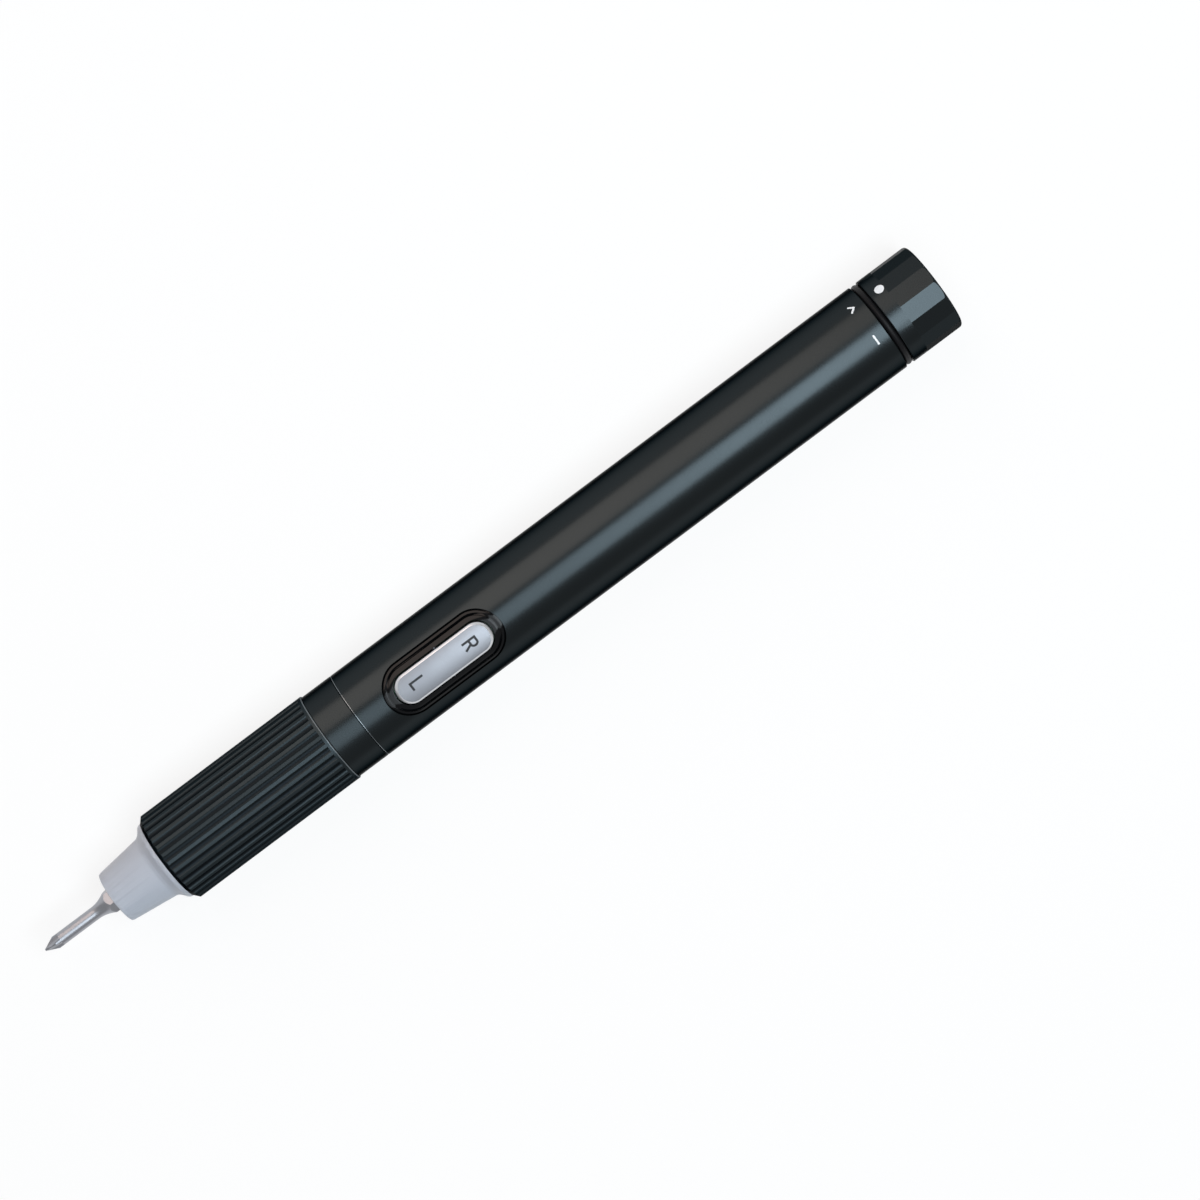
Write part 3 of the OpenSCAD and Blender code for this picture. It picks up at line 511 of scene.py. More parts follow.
# Pressed ferrite: charcoal with a dry, powdery surface.
FERRITE = Finish(
    "pressed_ferrite", "#3a3a3d", "#2b2b2e", 0.0, 0.62, 0.14, ior=2.2,
    grain_mm=(0.12, 0.12, 0.12), relief_mm=0.005, blotch_mm=3,
)
# Drawn steel can with bright zinc: draw lines along the axis.
DRAWN_STEEL = Finish(
    "zinc_plated_drawn_steel", "#a6a9ad", "#95989c", 1.0, 0.3, 0.1,
    grain_mm=(2.5, 0.1, 0.1), relief_mm=0.0015, blotch_mm=5,
)
# Stacked 0.35 mm laminations: thin dark joints across the axis.
LAMINATED_STEEL = Finish(
    "laminated_electrical_steel", "#6e7074", "#5c5e62", 1.0, 0.4, 0.1,
    grain_mm=(0.1, 0.4, 0.4), relief_mm=0.002, blotch_mm=3,
    bands=Bands(Axis.ALONG, 0.35, 0.16, "#26272a", raised_mm=-0.02),
)
# Wound 0.2 mm enamelled wire: amber copper in rows with dark gaps.
ENAMELLED_COPPER = Finish(
    "enamelled_copper_wire", "#b4603a", "#98492a", 1.0, 0.3, 0.1,
    grain_mm=(0.15, 0.15, 0.15), relief_mm=0.002, blotch_mm=2,
    bands=Bands(Axis.UP, 0.22, 0.18, "#3c1a10", raised_mm=-0.05),
    constants=(("Coat Weight", 0.6), ("Coat Roughness", 0.15)),
)
# Turned copper: pink metal with bright tool rings and brush marks.
TURNED_COPPER = Finish(
    "turned_copper", "#c98363", "#a9654a", 1.0, 0.28, 0.12,
    grain_mm=(0.07, 0.5, 0.5), relief_mm=0.0012, blotch_mm=2,
)
# Glass-filled nylon, moulded in green: matt with short pale streaks of fibre.
GREEN_NYLON = Finish(
    "glass_filled_green_nylon", "#2f5a48", "#3d6a57", 0.0, 0.55, 0.12, ior=1.53,
    grain_mm=(0.3, 0.12, 0.12), relief_mm=0.003, blotch_mm=4,
)
# Moulded black nylon: dull black with a spark-eroded texture.
BLACK_NYLON = Finish(
    "moulded_black_nylon", "#26272a", "#1e1f22", 0.0, 0.58, 0.12, ior=1.53,
    grain_mm=(0.2, 0.2, 0.2), relief_mm=0.004, blotch_mm=6,
)
# Green solder mask over fibreglass and copper: tracks show as paler lines 0.4 mm wide.
GREEN_BOARD = Finish(
    "green_solder_mask", "#0f5a34", "#0c4a2b", 0.0, 0.3, 0.1, ior=1.55,
    grain_mm=(0.5, 0.5, 0.5), relief_mm=0.002, blotch_mm=3,
    bands=Bands(Axis.ACROSS, 1.27, 0.3, "#1d7447", raised_mm=0.01),
)
# White solder mask: clean white with a faint weave of the fibreglass under it.
WHITE_BOARD = Finish(
    "white_solder_mask", "#dfe1de", "#d2d4d1", 0.0, 0.35, 0.1, ior=1.55,
    grain_mm=(0.45, 0.45, 0.45), relief_mm=0.002, blotch_mm=3,
)
# Phosphor in silicone over a light chip: yellow and slightly cloudy.
LED_PHOSPHOR = Finish(
    "led_phosphor_silicone", "#ead46a", "#dcc458", 0.0, 0.35, 0.1, ior=1.41,
    grain_mm=(0.06, 0.06, 0.06), relief_mm=0.001, blotch_mm=1,
)
# Polyimide flat cable: amber film with the copper lines showing through.
POLYIMIDE = Finish(
    "polyimide_flat_cable", "#b5722a", "#a5651f", 0.0, 0.3, 0.1, ior=1.7,
    grain_mm=(1.0, 0.3, 0.3), relief_mm=0.001, blotch_mm=3,
    bands=Bands(Axis.ACROSS, 0.5, 0.45, "#c78c47", raised_mm=0.004),
)
# Epoxy chip package: charcoal, moulded matt.
EPOXY_PACKAGE = Finish(
    "moulded_epoxy_package", "#212226", "#1a1b1e", 0.0, 0.5, 0.12, ior=1.55,
    grain_mm=(0.08, 0.08, 0.08), relief_mm=0.002, blotch_mm=1.5,
)
# Moulded silicone: grey and soft, with a dusty sheen.
SILICONE = Finish(
    "moulded_silicone", "#8b8f97", "#7d8189", 0.0, 0.6, 0.1, ior=1.41,
    grain_mm=(0.3, 0.3, 0.3), relief_mm=0.002, blotch_mm=2,
    constants=(("Subsurface Weight", 0.2), ("Subsurface Scale", 0.0005)),
)
# Nickel-plated spring steel: warm silver with rolling lines.
SPRING_STEEL = Finish(
    "nickel_plated_spring_steel", "#c4c0b2", "#b0ac9e", 1.0, 0.25, 0.1,
    grain_mm=(0.4, 0.1, 1.5), relief_mm=0.001, blotch_mm=3,
)
# Printed foil jacket of a dry cell: satin blue with a pale band at the front end.
CELL_JACKET = Finish(
    "printed_foil_jacket", "#26508f", "#20457d", 0.6, 0.3, 0.08,
    grain_mm=(1.5, 0.2, 0.2), relief_mm=0.001, blotch_mm=8,
    bands=Bands(Axis.ALONG, 44.55, 0.12, "#c9ccd0", start_mm=84.8),
)
# Nitrile rubber ring: matt black with a faint bloom.
NITRILE = Finish(
    "moulded_nitrile_rubber", "#0a0a0c", "#0f0f11", 0.0, 0.45, 0.1, ior=1.52,
    grain_mm=(0.2, 0.2, 0.2), relief_mm=0.002, blotch_mm=3,
    constants=(("Specular IOR Level", 0.12),),
)
# Pad-printed white ink: a thin opaque film, slightly uneven at this scale.
WHITE_INK = Finish(
    "pad_printed_white_ink", "#eceef0", "#dfe2e5", 0.0, 0.5, 0.1, ior=1.5,
    grain_mm=(0.12, 0.12, 0.12), relief_mm=0.002, blotch_mm=1,
)
# Pad-printed black ink on the button.
BLACK_INK = Finish(
    "pad_printed_black_ink", "#18191c", "#232427", 0.0, 0.48, 0.1, ior=1.5,
    grain_mm=(0.12, 0.12, 0.12), relief_mm=0.002, blotch_mm=1,
    constants=(("Specular IOR Level", 0.25),),
)


@dataclass(frozen=True)
class TwinLeads:
    """Two extruded leads in one node, one red and one black, told apart by the side they run on."""

    name: str = "extruded_pvc_leads"
    plus: str = "#b01f1c"
    minus: str = "#1b1b1d"

    def make(self) -> bpy.types.Material:
        """Build the material.

        Returns:
            The material: glossy, soft vinyl with faint extrusion lines.
        """
        base = Finish(self.name, self.plus, self.plus, 0.0, 0.38, 0.1, ior=1.53,
                      grain_mm=(0.8, 0.12, 0.12), relief_mm=0.001, blotch_mm=2)
        material = base.make()
        tree = material.node_tree
        place = add_node(tree, "ShaderNodeTexCoord").outputs["Object"]
        parts = add_node(tree, "ShaderNodeSeparateXYZ", {}, {0: place}).outputs
        positive = calculate(tree, "GREATER_THAN", calculate(tree, "ADD", parts[1], parts[2]), 0.0)
        colour = blend(tree, positive, linear(self.minus), linear(self.plus))
        tree.links.new(colour, tree.nodes["Principled BSDF"].inputs["Base Color"])
        return material


# ---------------------------------------------------------------- sub-assemblies


@dataclass
class SubAssembly:
    """A group of CAD nodes with their finishes, and the pieces that are modelled on top of them.

    Attributes:
        finishes: Finish of each node.
        weld_m: Distance under which a copy's points are one point.
        flat_below: Angle under which a copy's faces are joined.
        round_above: Angle over which an edge is rounded.
        drop_m: Height above a node from which a mark drops onto it.
        film_gap: Share of an ink film that lies clear of the surface.
        ink_mm: Thickness of printed ink.
    """

    finishes: dict[str, Finish | TwinLeads] = field(default_factory=dict)
    weld_m: ClassVar[float] = 0.000001
    flat_below: ClassVar[float] = math.radians(0.6)
    round_above: ClassVar[float] = math.radians(32)
    drop_m: ClassVar[float] = 0.0002
    film_gap: ClassVar[float] = 0.3
    ink_mm: ClassVar[float] = 0.02

    def dress(self) -> None:
        """Give each CAD node its finish."""
        for node, finish in self.finishes.items():
            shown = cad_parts[node]
            material = finish.make()
            shown.data.materials.clear()
            shown.data.materials.append(material)
            LOG.info("dressed %s in %s", node, finish.name)

    def build(self) -> None:
        """Model the group's own pieces; a group without any has nothing to do."""

    @classmethod
    def copied(cls, node: str, name: str, body: str, slot: str) -> bpy.types.Object:
        """Copy a CAD node into a welded piece that stands for it.

        Args:
            node: Name of the CAD node.
            name: Name of the new piece.
            body: Body that the piece rides on.
            slot: Material slot of the node; not used.

        Returns:
            The new piece.
        """
        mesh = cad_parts[node].data.copy()
        mesh.name = name
        piece = bpy.data.objects.new(name, mesh)
        bpy.context.collection.objects.link(piece)
        select_only(piece)
        bpy.ops.object.mode_set(mode="EDIT")
        bpy.ops.mesh.select_all(action="SELECT")
        bpy.ops.mesh.remove_doubles(threshold=cls.weld_m)
        bpy.ops.mesh.dissolve_limited(angle_limit=cls.flat_below)
        bpy.ops.object.mode_set(mode="OBJECT")
        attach(piece, body)
        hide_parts(node)
        return piece

    @classmethod
    def soften(cls, piece: bpy.types.Object, width_mm: float, segments: int) -> None:
        """Round all sharp edges of a piece.

        Args:
            piece: The piece.
            width_mm: Width of the rounding.
            segments: Number of faces across the rounding.
        """
        apply_modifier(
            piece,
            "BEVEL",
            {
                "width": width_mm * MM,
                "segments": segments,
                "limit_method": "ANGLE",
                "angle_limit": cls.round_above,
                "use_clamp_overlap": True,
            },
        )
        select_only(piece)
        bpy.ops.object.shade_smooth_by_angle(angle=SMOOTH_BELOW)
        LOG.info("rounded %s", piece.name)

    @classmethod
    def lay_on(cls, piece: bpy.types.Object, node: str, x_mm: float, turn: float) -> None:
        """Lay a flat printed mark on a node's surface and give it the thickness of its ink.

        Args:
            piece: The flat mark, drawn at the origin with X along the tool.
            node: Name of the CAD node that carries the print.
            x_mm: Place of the mark's centre along the axis.
            turn: Turn about the axis from the top towards +Y, in degrees.
        """
        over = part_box(node)[1].z + cls.drop_m
        piece.data.transform(
            Matrix.Rotation(math.radians(-turn), 4, "X") @ Matrix.Translation((x_mm * MM, 0, over))
        )
        apply_modifier(
            piece,
            "SHRINKWRAP",
            {
                "target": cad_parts[node],
                "wrap_method": "NEAREST_SURFACEPOINT",
                "wrap_mode": "ABOVE_SURFACE",
                "offset": cls.ink_mm * MM * cls.film_gap,
            },
        )
        apply_modifier(piece, "SOLIDIFY", {"thickness": cls.ink_mm * MM, "offset": 1.0})
        settle(piece)


@dataclass
class NoseAndLight(SubAssembly):
    """Frosted nose with the ring board, lamps and flat cable behind it.

    Attributes:
        corner_mm: Place along the axis where cone and lip would meet in a sharp corner.
        corner_radius_mm: Radius of that corner.
        fillet_half_mm: Reach of the fillet to each side of the corner.
        fillet_rings: Steps across the fillet.
        cone_slope: Growth of the radius along the cone.
        lip_slope: Growth of the radius up the front of the lip.
        lamp_room_mm: Radius that separates the outer skin from the room inside.
    """

    corner_mm: float = 9.432
    fillet_half_mm: float = 0.72
    fillet_rings: int = 12
    cone_slope: float = 0.1186
    lip_slope: float = 1.3219
    corner_radius_mm: float = 6.172
    lamp_room_mm: float = 5.6
    finishes: dict[str, Finish | TwinLeads] = field(
        default_factory=lambda: {
            "nose_light_guide": FROSTED_POLYCARBONATE,
            "led_board": WHITE_BOARD,
            "led_lamps": LED_PHOSPHOR,
            "led_flex": POLYIMIDE,
        }
    )

    def build(self) -> None:
        """Dress the nose with a copy whose flare runs softly into its lip."""
        piece = self.copied("nose_light_guide", "nose_rounded", "housing", "frosted_polycarbonate")
        self.widen_fillet(piece)
        select_only(piece)
        bpy.ops.object.shade_smooth_by_angle(angle=SMOOTH_BELOW)

    def widen_fillet(self, piece: bpy.types.Object) -> None:
        """Cut rings across the corner between cone and lip and lay them on a wider fillet.

        Args:
            piece: The copy of the nose.
        """
        start = self.corner_mm - self.fillet_half_mm
        width = 2 * self.fillet_half_mm
        select_only(piece)
        bpy.ops.object.mode_set(mode="EDIT")
        for ring in range(self.fillet_rings + 1):
            bpy.ops.mesh.select_all(action="SELECT")
            place = (start + width * ring / self.fillet_rings) * MM
            bpy.ops.mesh.bisect(plane_co=(place, 0, 0), plane_no=(1, 0, 0))
        bpy.ops.object.mode_set(mode="OBJECT")
        moved = 0
        for vertex in piece.data.vertices:
            past = vertex.co.x / MM - start
            radius = vertex.co.yz.length / MM
            if not 0 < past < width or radius < self.lamp_room_mm:
                continue
            cone = self.corner_radius_mm + self.cone_slope * (past - self.fillet_half_mm)
            rise = (self.lip_slope - self.cone_slope) * past**2 / (2 * width)
            vertex.co.yz = vertex.co.yz * ((cone + rise) / radius)
            moved += 1
        LOG.info("laid %d points of %s on its fillet", moved, piece.name)


@dataclass
class Grip(SubAssembly):
    """Ribbed collar and the housing whose ring shows behind it."""

    finishes: dict[str, Finish | TwinLeads] = field(
        default_factory=lambda: {"grip_collar": ANODISED_RIBS, "front_housing": ANODISED_TUBE}
    )


@dataclass
class Spindle(SubAssembly):
    """Spindle, its bearings, its lock and the bit that it drives."""

    finishes: dict[str, Finish | TwinLeads] = field(
        default_factory=lambda: {
            "spindle": GROUND_STEEL,
            "front_bush": OILED_BRONZE,
            "lock_ring": GROUND_STEEL,
            "lock_cam": GROUND_STEEL,
            "lock_rollers": GROUND_STEEL,
            "bit_magnet": NICKEL_MAGNET,
            "screwdriver_bit": NICKEL_PLATE,
        }
    )


@dataclass
class Gearbox(SubAssembly):
    """Two planetary stages in one ring gear."""

    finishes: dict[str, Finish | TwinLeads] = field(
        default_factory=lambda: {
            "ring_gear": DIE_CAST_ZINC,
            "motor_plate": DIE_CAST_ZINC,
            "output_carrier": SINTERED_STEEL,
            "first_carrier": SINTERED_STEEL,
            **{f"{stage}_planet_{k}": SINTERED_STEEL for stage in ("first", "second") for k in "abc"},
            "motor_pinion": MACHINED_BRASS,
        }
    )


@dataclass
class Motor(SubAssembly):
    """Brushed motor behind the gearbox."""

    finishes: dict[str, Finish | TwinLeads] = field(
        default_factory=lambda: {
            "motor_screws": DRAWN_STEEL,
            "motor_can": DRAWN_STEEL,
            "motor_magnets": FERRITE,
            "motor_end_cap": GREEN_NYLON,
            "motor_brushes": TURNED_COPPER,
            "motor_terminals": MACHINED_BRASS,
            "motor_leads": TwinLeads(),
            "motor_shaft": GROUND_STEEL,
            "armature_core": LAMINATED_STEEL,
            "armature_windings": ENAMELLED_COPPER,
            "commutator": TURNED_COPPER,
        }
    )


@dataclass
class BarrelAndButton(SubAssembly):
    """Barrel, the rocker button in its glossy frame, and the electronics under it.

    Attributes:
        letter_height_mm: Height of the letters.
        letter_width_mm: Width of the letters.
        letter_stroke_mm: Width of their strokes.
        letter_spread_mm: Distance of each letter from the button's middle.
        mark_x_mm: Place of the marks along the axis.
        mark_stroke_mm: Width of the marks' strokes.
        open_turn: Turn of the open mark from the locked one, in degrees.
        bezel_edge: Width in millimetres and faces of the rounding on the frame.
        rocker_edge: Width in millimetres and faces of the rounding on the button.
        rim_highlight_tilt: Range of the normal's upward share over which a face gets the painted highlight
            of the rim.
        bowl_drop: Place of the bowl's lower side, as a share of half the letter's height.
        bowl_faces: Steps round the bowl of the R.
    """

    letter_height_mm: float = 2.68
    letter_width_mm: float = 1.4
    letter_stroke_mm: float = 0.42
    letter_spread_mm: float = 5.6
    mark_x_mm: float = 165.0
    mark_stroke_mm: float = 0.36
    open_turn: float = 48.0
    bezel_edge: tuple[float, int] = (0.16, 4)
    rocker_edge: tuple[float, int] = (0.1, 3)
    rim_highlight_tilt: tuple[float, float] = (0.35, 0.96)
    bowl_drop: float = 0.06
    bowl_faces: int = 8
    finishes: dict[str, Finish | TwinLeads] = field(
        default_factory=lambda: {
            "barrel": TUBE_WITH_PAINTED_GLINT,
            "button_bezel": GLOSS_ABS,
            "pivot_pin": NICKEL_PLATE,
            "inner_frame": BLACK_NYLON,
            "control_board": GREEN_BOARD,
            "switch_domes": SILICONE,
            "driver_chips": EPOXY_PACKAGE,
            "front_contact": SPRING_STEEL,
            "cell_tube": BLACK_NYLON,
            "front_cell": CELL_JACKET,
            "rear_cell": CELL_JACKET,
            "rocker_button": SATIN_ALUMINIUM,
        }
    )

    def build(self) -> None:
        """Round the button and its frame, and print the marks."""
        bezel = self.copied("button_bezel", "bezel_rounded", "housing", "gloss_black_abs")
        self.soften(bezel, *self.bezel_edge)
        rocker = self.copied("rocker_button", "rocker_rounded", "rocker", "satin_aluminium")
        self.soften(rocker, *self.rocker_edge)
        # The rim's tilted faces get a brighter, smoother metal: a painted highlight.
        rocker.data.materials.append(RIM_HIGHLIGHT_ALUMINIUM.make())
        steep, level = self.rim_highlight_tilt
        for face in rocker.data.polygons:
            face.material_index = int(steep < face.normal.z < level)
        self._letters()
        domes = self.copied("switch_domes", "domes_pressed", "housing", "silicone")
        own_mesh(domes)
        self._mark("locked_mark", [(0, -1), (0, 1)], 0.0)
        self._mark("open_mark", [(-0.55, -0.8), (0.35, 0), (-0.55, 0.8)], self.open_turn)

    def _letters(self) -> None:
        """Print an L and an R, whose bowl is a half ellipse on two straight lines."""
        low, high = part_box("rocker_button")
        middle = (low.x + high.x) / 2
        foot, edge = self.letter_height_mm / 2, self.letter_width_mm / 2
        stem = [(-foot, edge), (foot, edge)]
        bowl_mid, bowl_half = foot * (1 + self.bowl_drop) / 2, foot * (1 - self.bowl_drop) / 2
        bowl_start, bowl_reach = -edge * 0.3, edge * 0.7
        bowl = [
            (bowl_mid + bowl_half * math.cos(t), bowl_start - bowl_reach * math.sin(t))
            for t in (math.pi * k / self.bowl_faces for k in range(self.bowl_faces + 1))
        ]
        loop = [stem[0], stem[1], *bowl, (foot * self.bowl_drop, edge * 0.7)]
        leg = [(0.0, -edge * 0.15), (-foot, -edge)]
        self._letter("letter_l", [[stem[1], stem[0], (-foot, -edge)]], middle - self.letter_spread_mm * MM)
        self._letter("letter_r", [loop, leg], middle + self.letter_spread_mm * MM)

    def _letter(self, name: str, strokes: list[list[tuple[float, float]]], at_x: float) -> None:
        """Print one letter on the rocker.

        Args:
            name: Name of the piece.
            strokes: The letter's strokes as (along, across) points in millimetres from its centre.
            at_x: Place of the letter's centre along the axis, in metres.
        """
        parts = [printed_stroke(name, points, self.letter_stroke_mm) for points in strokes]
        select_only(parts[0])
        for part in parts[1:]:
            part.select_set(True)
        bpy.ops.object.join()
        piece = bpy.context.object
        self.lay_on(piece, "rocker_button", at_x / MM, 0.0)
        piece.data.materials.append(BLACK_INK.make())
        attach(piece, "rocker")
        LOG.info("printed %s", piece.name)

    def _mark(self, name: str, points: list[tuple[float, float]], angle: float) -> None:
        """Print a stroke mark on the barrel's rear end.

        Args:
            name: Name of the piece.
            points: Stroke as (along, across) in millimetres from the mark's centre.
            angle: Turn about the axis from the top towards +Y, in degrees.
        """
        piece = printed_stroke(name, points, self.mark_stroke_mm)
        self.lay_on(piece, "barrel", self.mark_x_mm, angle)
        piece.data.materials.append(WHITE_INK.make())
        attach(piece, "housing")
        LOG.info("printed %s", name)


def printed_stroke(name: str, points: list[tuple[float, float]], width_mm: float) -> bpy.types.Object:
    """Model a flat stroke of constant width through a few points, with mitred corners.

    Args:
        name: Name of the piece.
        points: Stroke as (along, across) in millimetres.
        width_mm: Width of the stroke.

    Returns:
        The flat stroke at the origin, with enough faces to bend over a round surface.
    """
    line = [Vector((x * MM, y * MM, 0)) for x, y in points]
    sides = []
    for here, before, after in zip(line, [line[0], *line], [*line[1:], line[-1]]):
        first = (here - before).normalized() if before != here else (after - here).normalized()
        second = (after - here).normalized() if after != here else first
        across = Vector((-first.y - second.y, first.x + second.x, 0)).normalized()
        reach = width_mm * MM / 2 / across.dot(Vector((-second.y, second.x, 0)))
        sides.append((here + reach * across, here - reach * across))
    deselect_all()
    bpy.ops.mesh.primitive_plane_add(size=width_mm * MM)
    piece = bpy.context.object
    piece.name = piece.data.name = name
    bpy.ops.object.mode_set(mode="EDIT")
    mesh = bmesh.from_edit_mesh(piece.data)
    mesh.faces.ensure_lookup_table()
    corners = list(mesh.faces[0].loops)
    for loop, place in zip(corners, (sides[0][0], sides[0][1], sides[1][1], sides[1][0])):
        loop.vert.co = place
    front = (corners[3].vert.index, corners[2].vert.index)
    bmesh.update_edit_mesh(piece.data)
    for left, right in sides[2:]:
        bpy.ops.mesh.select_all(action="DESELECT")
        mesh = bmesh.from_edit_mesh(piece.data)
        mesh.verts.ensure_lookup_table()
        old = [mesh.verts[i] for i in front]
        mesh.edges.get(old).select_set(True)
        bmesh.update_edit_mesh(piece.data)
        bpy.ops.mesh.extrude_region_move()
        mesh = bmesh.from_edit_mesh(piece.data)
        mesh.verts.ensure_lookup_table()
        left_before = mesh.verts[front[0]].co.copy()
        new = [v for v in mesh.verts if v.select]
        new.sort(key=lambda v: (v.co - left_before).length)
        new[0].co, new[1].co = left, right
        front = (new[0].index, new[1].index)
        bmesh.update_edit_mesh(piece.data)
    bpy.ops.mesh.select_all(action="SELECT")
    bpy.ops.mesh.subdivide(number_cuts=STROKE_CUTS)
    bpy.ops.object.mode_set(mode="OBJECT")
    return piece


@dataclass
class TailCap(SubAssembly):
    """Bayonet cap with its seal, contact disc and spring.

    Attributes:
        dot_d_mm: Diameter of the printed dot.
        dot_x_mm: Place of the dot along the axis.
        dot_turn: Turn of the dot from the top towards +Y, in degrees.
        dot_sides: Number of points on the dot's rim.
        dot_rings: Rings of faces inside the dot, so that it bends over the cap.
    """

    dot_d_mm: float = 1.8
    dot_x_mm: float = 170.8
    dot_turn: float = 47.5
    dot_sides: int = 32
    dot_rings: int = 3
    finishes: dict[str, Finish | TwinLeads] = field(
        default_factory=lambda: {
            "tail_cap": ANODISED_TUBE,
            "cap_seal": NITRILE,
            "cap_contact": SPRING_STEEL,
            "cell_spring": SPRING_STEEL,
        }
    )

    def build(self) -> None:
        """Print the dot that meets the marks on the barrel."""
        deselect_all()
        radius = self.dot_d_mm * MM / 2
        bpy.ops.mesh.primitive_circle_add(vertices=self.dot_sides, radius=radius, fill_type="NGON")
        piece = bpy.context.object
        piece.name = piece.data.name = "cap_dot"
        bpy.ops.object.mode_set(mode="EDIT")
        bpy.ops.mesh.select_all(action="SELECT")
        for _ in range(self.dot_rings):
            bpy.ops.mesh.inset(thickness=radius / (self.dot_rings + 1))
        bpy.ops.mesh.poke()
        bpy.ops.object.mode_set(mode="OBJECT")
        self.lay_on(piece, "tail_cap", self.dot_x_mm, self.dot_turn)
        piece.data.materials.append(WHITE_INK.make())
        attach(piece, "tail_cap")
        LOG.info("printed %s", piece.name)


# ---------------------------------------------------------------- studio


@dataclass(frozen=True)
class Lamp:
    """One softbox.

    Attributes:
        name: Name of the lamp.
        at: Its centre, in metres.
        aim: Point that it faces.
        size: Length along the tool's axis and width across it, in metres.
        watts: Its power.
        colour: Its sRGB colour.
    """

    name: str
    at: tuple[float, float, float]
    aim: tuple[float, float, float]
    size: tuple[float, float]
    watts: float
    colour: str = "#ffffff"

    def build(self) -> None:
        """Hang the lamp in the scene."""
        data = bpy.data.lights.new(self.name, "AREA")
        data.shape = "RECTANGLE"
        data.size, data.size_y = self.size
        data.energy = self.watts
        data.color = linear(self.colour)[:3]
        lamp = bpy.data.objects.new(self.name, data)
        bpy.context.collection.objects.link(lamp)
        lamp.location = self.at
        way = (Vector(self.aim) - Vector(self.at)).normalized()
        right = (Vector((1, 0, 0)) - way.x * way).normalized()
        lamp.matrix_world = (
            Matrix.Translation(self.at) @ Matrix((right, right.cross(way), -way)).transposed().to_4x4()
        )


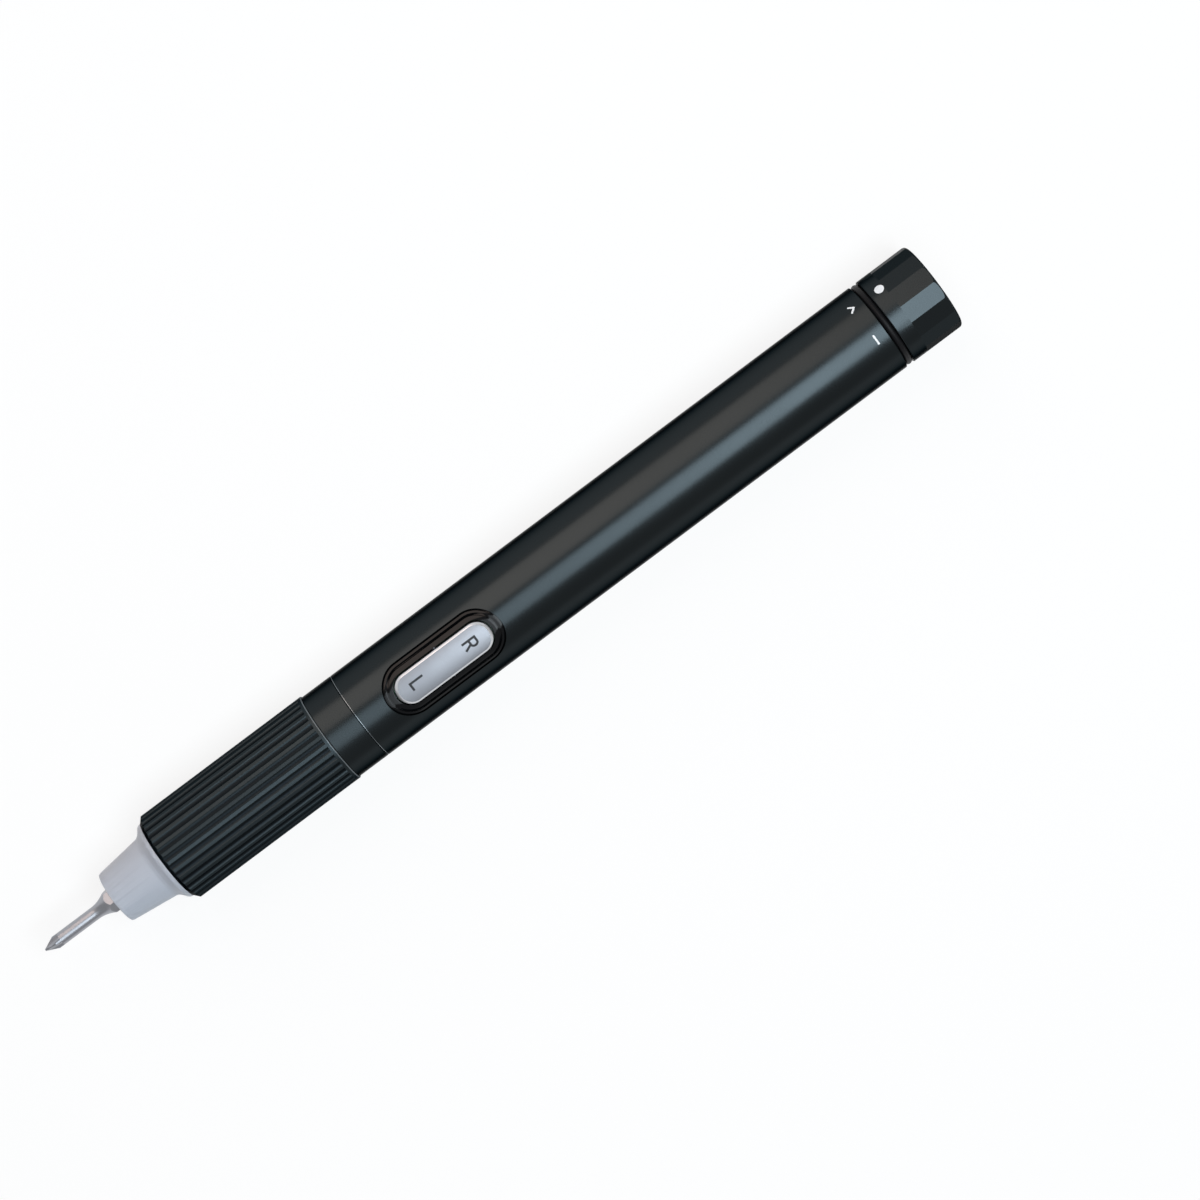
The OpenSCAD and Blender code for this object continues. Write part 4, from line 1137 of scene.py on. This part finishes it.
@dataclass
class Studio:
    """Camera, floor, softboxes and the pale surround.

    Attributes:
        camera_lean: Lean of the camera from straight above, in degrees.
        camera_distance: Distance of the camera, in metres.
        camera_over_x: Place along the tool that the camera is over.
        target: Point that the camera faces.
        roll: Turn of the camera about its own line of sight, in degrees.
        lens: Focal length in millimetres.
        sensor_mm: Width of the sensor.
        floor_size: Side of the floor, in metres.
        floor_middle: Place of the floor's middle along the tool.
        floor_gap: Room between the tool and the floor.
        shadow_reach: Distances at which the floor starts and ends its way to plain white.
        shadow_glow: Share of its own white that the floor has at those distances.
        horizon: Heights at which the surround starts and ends its way to a darker top.
        horizon_light: Strength of the surround at those heights.
        soft_light: Strength of the surround for rays that only carry light.
        lamps: The softboxes.
    """

    camera_lean: float = 10.5
    camera_distance: float = 0.65
    camera_over_x: float = 0.108
    target: tuple[float, float, float] = (0.0996, -0.00895, 0.00166)
    roll: float = 36.8
    lens: float = 111.0
    sensor_mm: float = 36
    floor_size: float = 6
    floor_middle: float = 0.1
    floor_gap: float = 0.00001
    shadow_reach: tuple[float, float] = (0.25, 1.2)
    shadow_glow: tuple[float, float] = (0.84, 1.0)
    horizon: tuple[float, float] = (0.08, 0.3)
    horizon_light: tuple[float, float] = (1.0, 0.5)
    soft_light: float = 0.1
    lamps: tuple[Lamp, ...] = (
        Lamp("overhead_softbox", (0.15, -0.08, 0.9), (0.1, 0, 0), (0.7, 0.62), 3.9, "#edf8ff"),
        Lamp("tail_softbox", (0.33, -0.08, 0.9), (0.14, 0, 0), (0.4, 0.62), 4.7, "#edf8ff"),
        Lamp("side_softbox", (0.07, 0.69, 0.58), (0.07, 0, 0), (0.45, 0.8), 3.0, "#ffe9dc"),
    )

    def build(self) -> None:
        """Set up camera, floor, lamps and surround."""
        self._camera()
        self._floor()
        self._surround()
        for lamp in self.lamps:
            lamp.build()
            LOG.info("hung %s", lamp.name)

    def _camera(self) -> None:
        """Place the camera above the tool, leaning a little to the side of the lens."""
        lean = math.radians(self.camera_lean)
        back = Vector((0, math.sin(lean), math.cos(lean)))
        place = Vector((self.camera_over_x, 0, 0)) + self.camera_distance * back
        forward = (Vector(self.target) - place).normalized()
        along = (Vector((1, 0, 0)) - forward.x * forward).normalized()
        normal = (-forward).cross(along)
        turn = math.radians(self.roll)
        right = math.cos(turn) * along - math.sin(turn) * normal
        up = math.sin(turn) * along + math.cos(turn) * normal
        data = bpy.data.cameras.new("camera")
        data.lens = self.lens
        data.sensor_width = self.sensor_mm
        camera = bpy.data.objects.new("camera", data)
        bpy.context.collection.objects.link(camera)
        camera.matrix_world = Matrix.Translation(place) @ Matrix((right, up, -forward)).transposed().to_4x4()
        bpy.context.scene.camera = camera

    def _floor(self) -> None:
        """Lay a pale floor under the tool that still takes its shadow."""
        low = CAD_BOX[0]
        deselect_all()
        middle = (self.floor_middle, 0, low.z - self.floor_gap)
        bpy.ops.mesh.primitive_plane_add(size=self.floor_size, location=middle)
        floor = bpy.context.object
        floor.name = "floor"
        settle(floor)
        material = bpy.data.materials.new("pale_studio_floor")
        material.use_nodes = True
        tree = material.node_tree
        tree.nodes.remove(tree.nodes["Principled BSDF"])
        place = add_node(tree, "ShaderNodeTexCoord").outputs["Object"]
        away = add_node(tree, "ShaderNodeVectorMath", {"operation": "LENGTH"}, {0: place}).outputs["Value"]
        reach = ramp(tree, away, self.shadow_reach, self.shadow_glow)
        share = calculate(tree, "MULTIPLY", seen_directly(tree), reach)
        matt = add_node(tree, "ShaderNodeBsdfDiffuse", {}, {"Color": linear("#f4f4f4")}).outputs[0]
        glow = add_node(tree, "ShaderNodeEmission", {}, {"Color": (1, 1, 1, 1), "Strength": 1.0}).outputs[0]
        mix = add_node(tree, "ShaderNodeMixShader", {}, {0: share, 1: matt, 2: glow}).outputs[0]
        tree.links.new(mix, tree.nodes["Material Output"].inputs["Surface"])
        floor.data.materials.append(material)

    def _surround(self) -> None:
        """Make the surround white where it is seen, and a weaker even light elsewhere."""
        world = bpy.data.worlds.new("studio")
        world.use_nodes = True
        bpy.context.scene.world = world
        tree = world.node_tree
        way = add_node(tree, "ShaderNodeTexCoord").outputs["Generated"]
        height = add_node(tree, "ShaderNodeSeparateXYZ", {}, {0: way}).outputs[2]
        walls = ramp(tree, height, self.horizon, self.horizon_light)
        strength = add_node(
            tree,
            "ShaderNodeMix",
            {"data_type": "FLOAT"},
            {0: seen_directly(tree), 2: self.soft_light, 3: walls},
        ).outputs[0]
        camera = add_node(tree, "ShaderNodeLightPath").outputs["Is Camera Ray"]
        plain = calculate(tree, "MAXIMUM", strength, camera)
        tree.links.new(plain, tree.nodes["Background"].inputs["Strength"])
        tree.nodes["Background"].inputs["Color"].default_value = (1, 1, 1, 1)


def seen_directly(tree: bpy.types.NodeTree) -> bpy.types.NodeSocket:
    """Tell rays that show the background from rays that only carry light.

    Args:
        tree: Node tree of the floor or the world.

    Returns:
        A value of one for camera, glossy and transmission rays.
    """
    path = add_node(tree, "ShaderNodeLightPath").outputs
    first = calculate(tree, "MAXIMUM", path["Is Camera Ray"], path["Is Glossy Ray"])
    return calculate(tree, "MAXIMUM", first, path["Is Transmission Ray"])


# ---------------------------------------------------------------- run


def main() -> None:
    """Build the studio and every sub-assembly."""
    logging.basicConfig(level=logging.INFO, format="%(name)s: %(message)s")
    bpy.context.scene.view_settings.view_transform = "Standard"
    Studio().build()
    for group in (NoseAndLight(), Grip(), Spindle(), Gearbox(), Motor(), BarrelAndButton(), TailCap()):
        group.dress()
        group.build()
        LOG.info("finished %s", type(group).__name__)


if __name__ == "__main__":
    main()
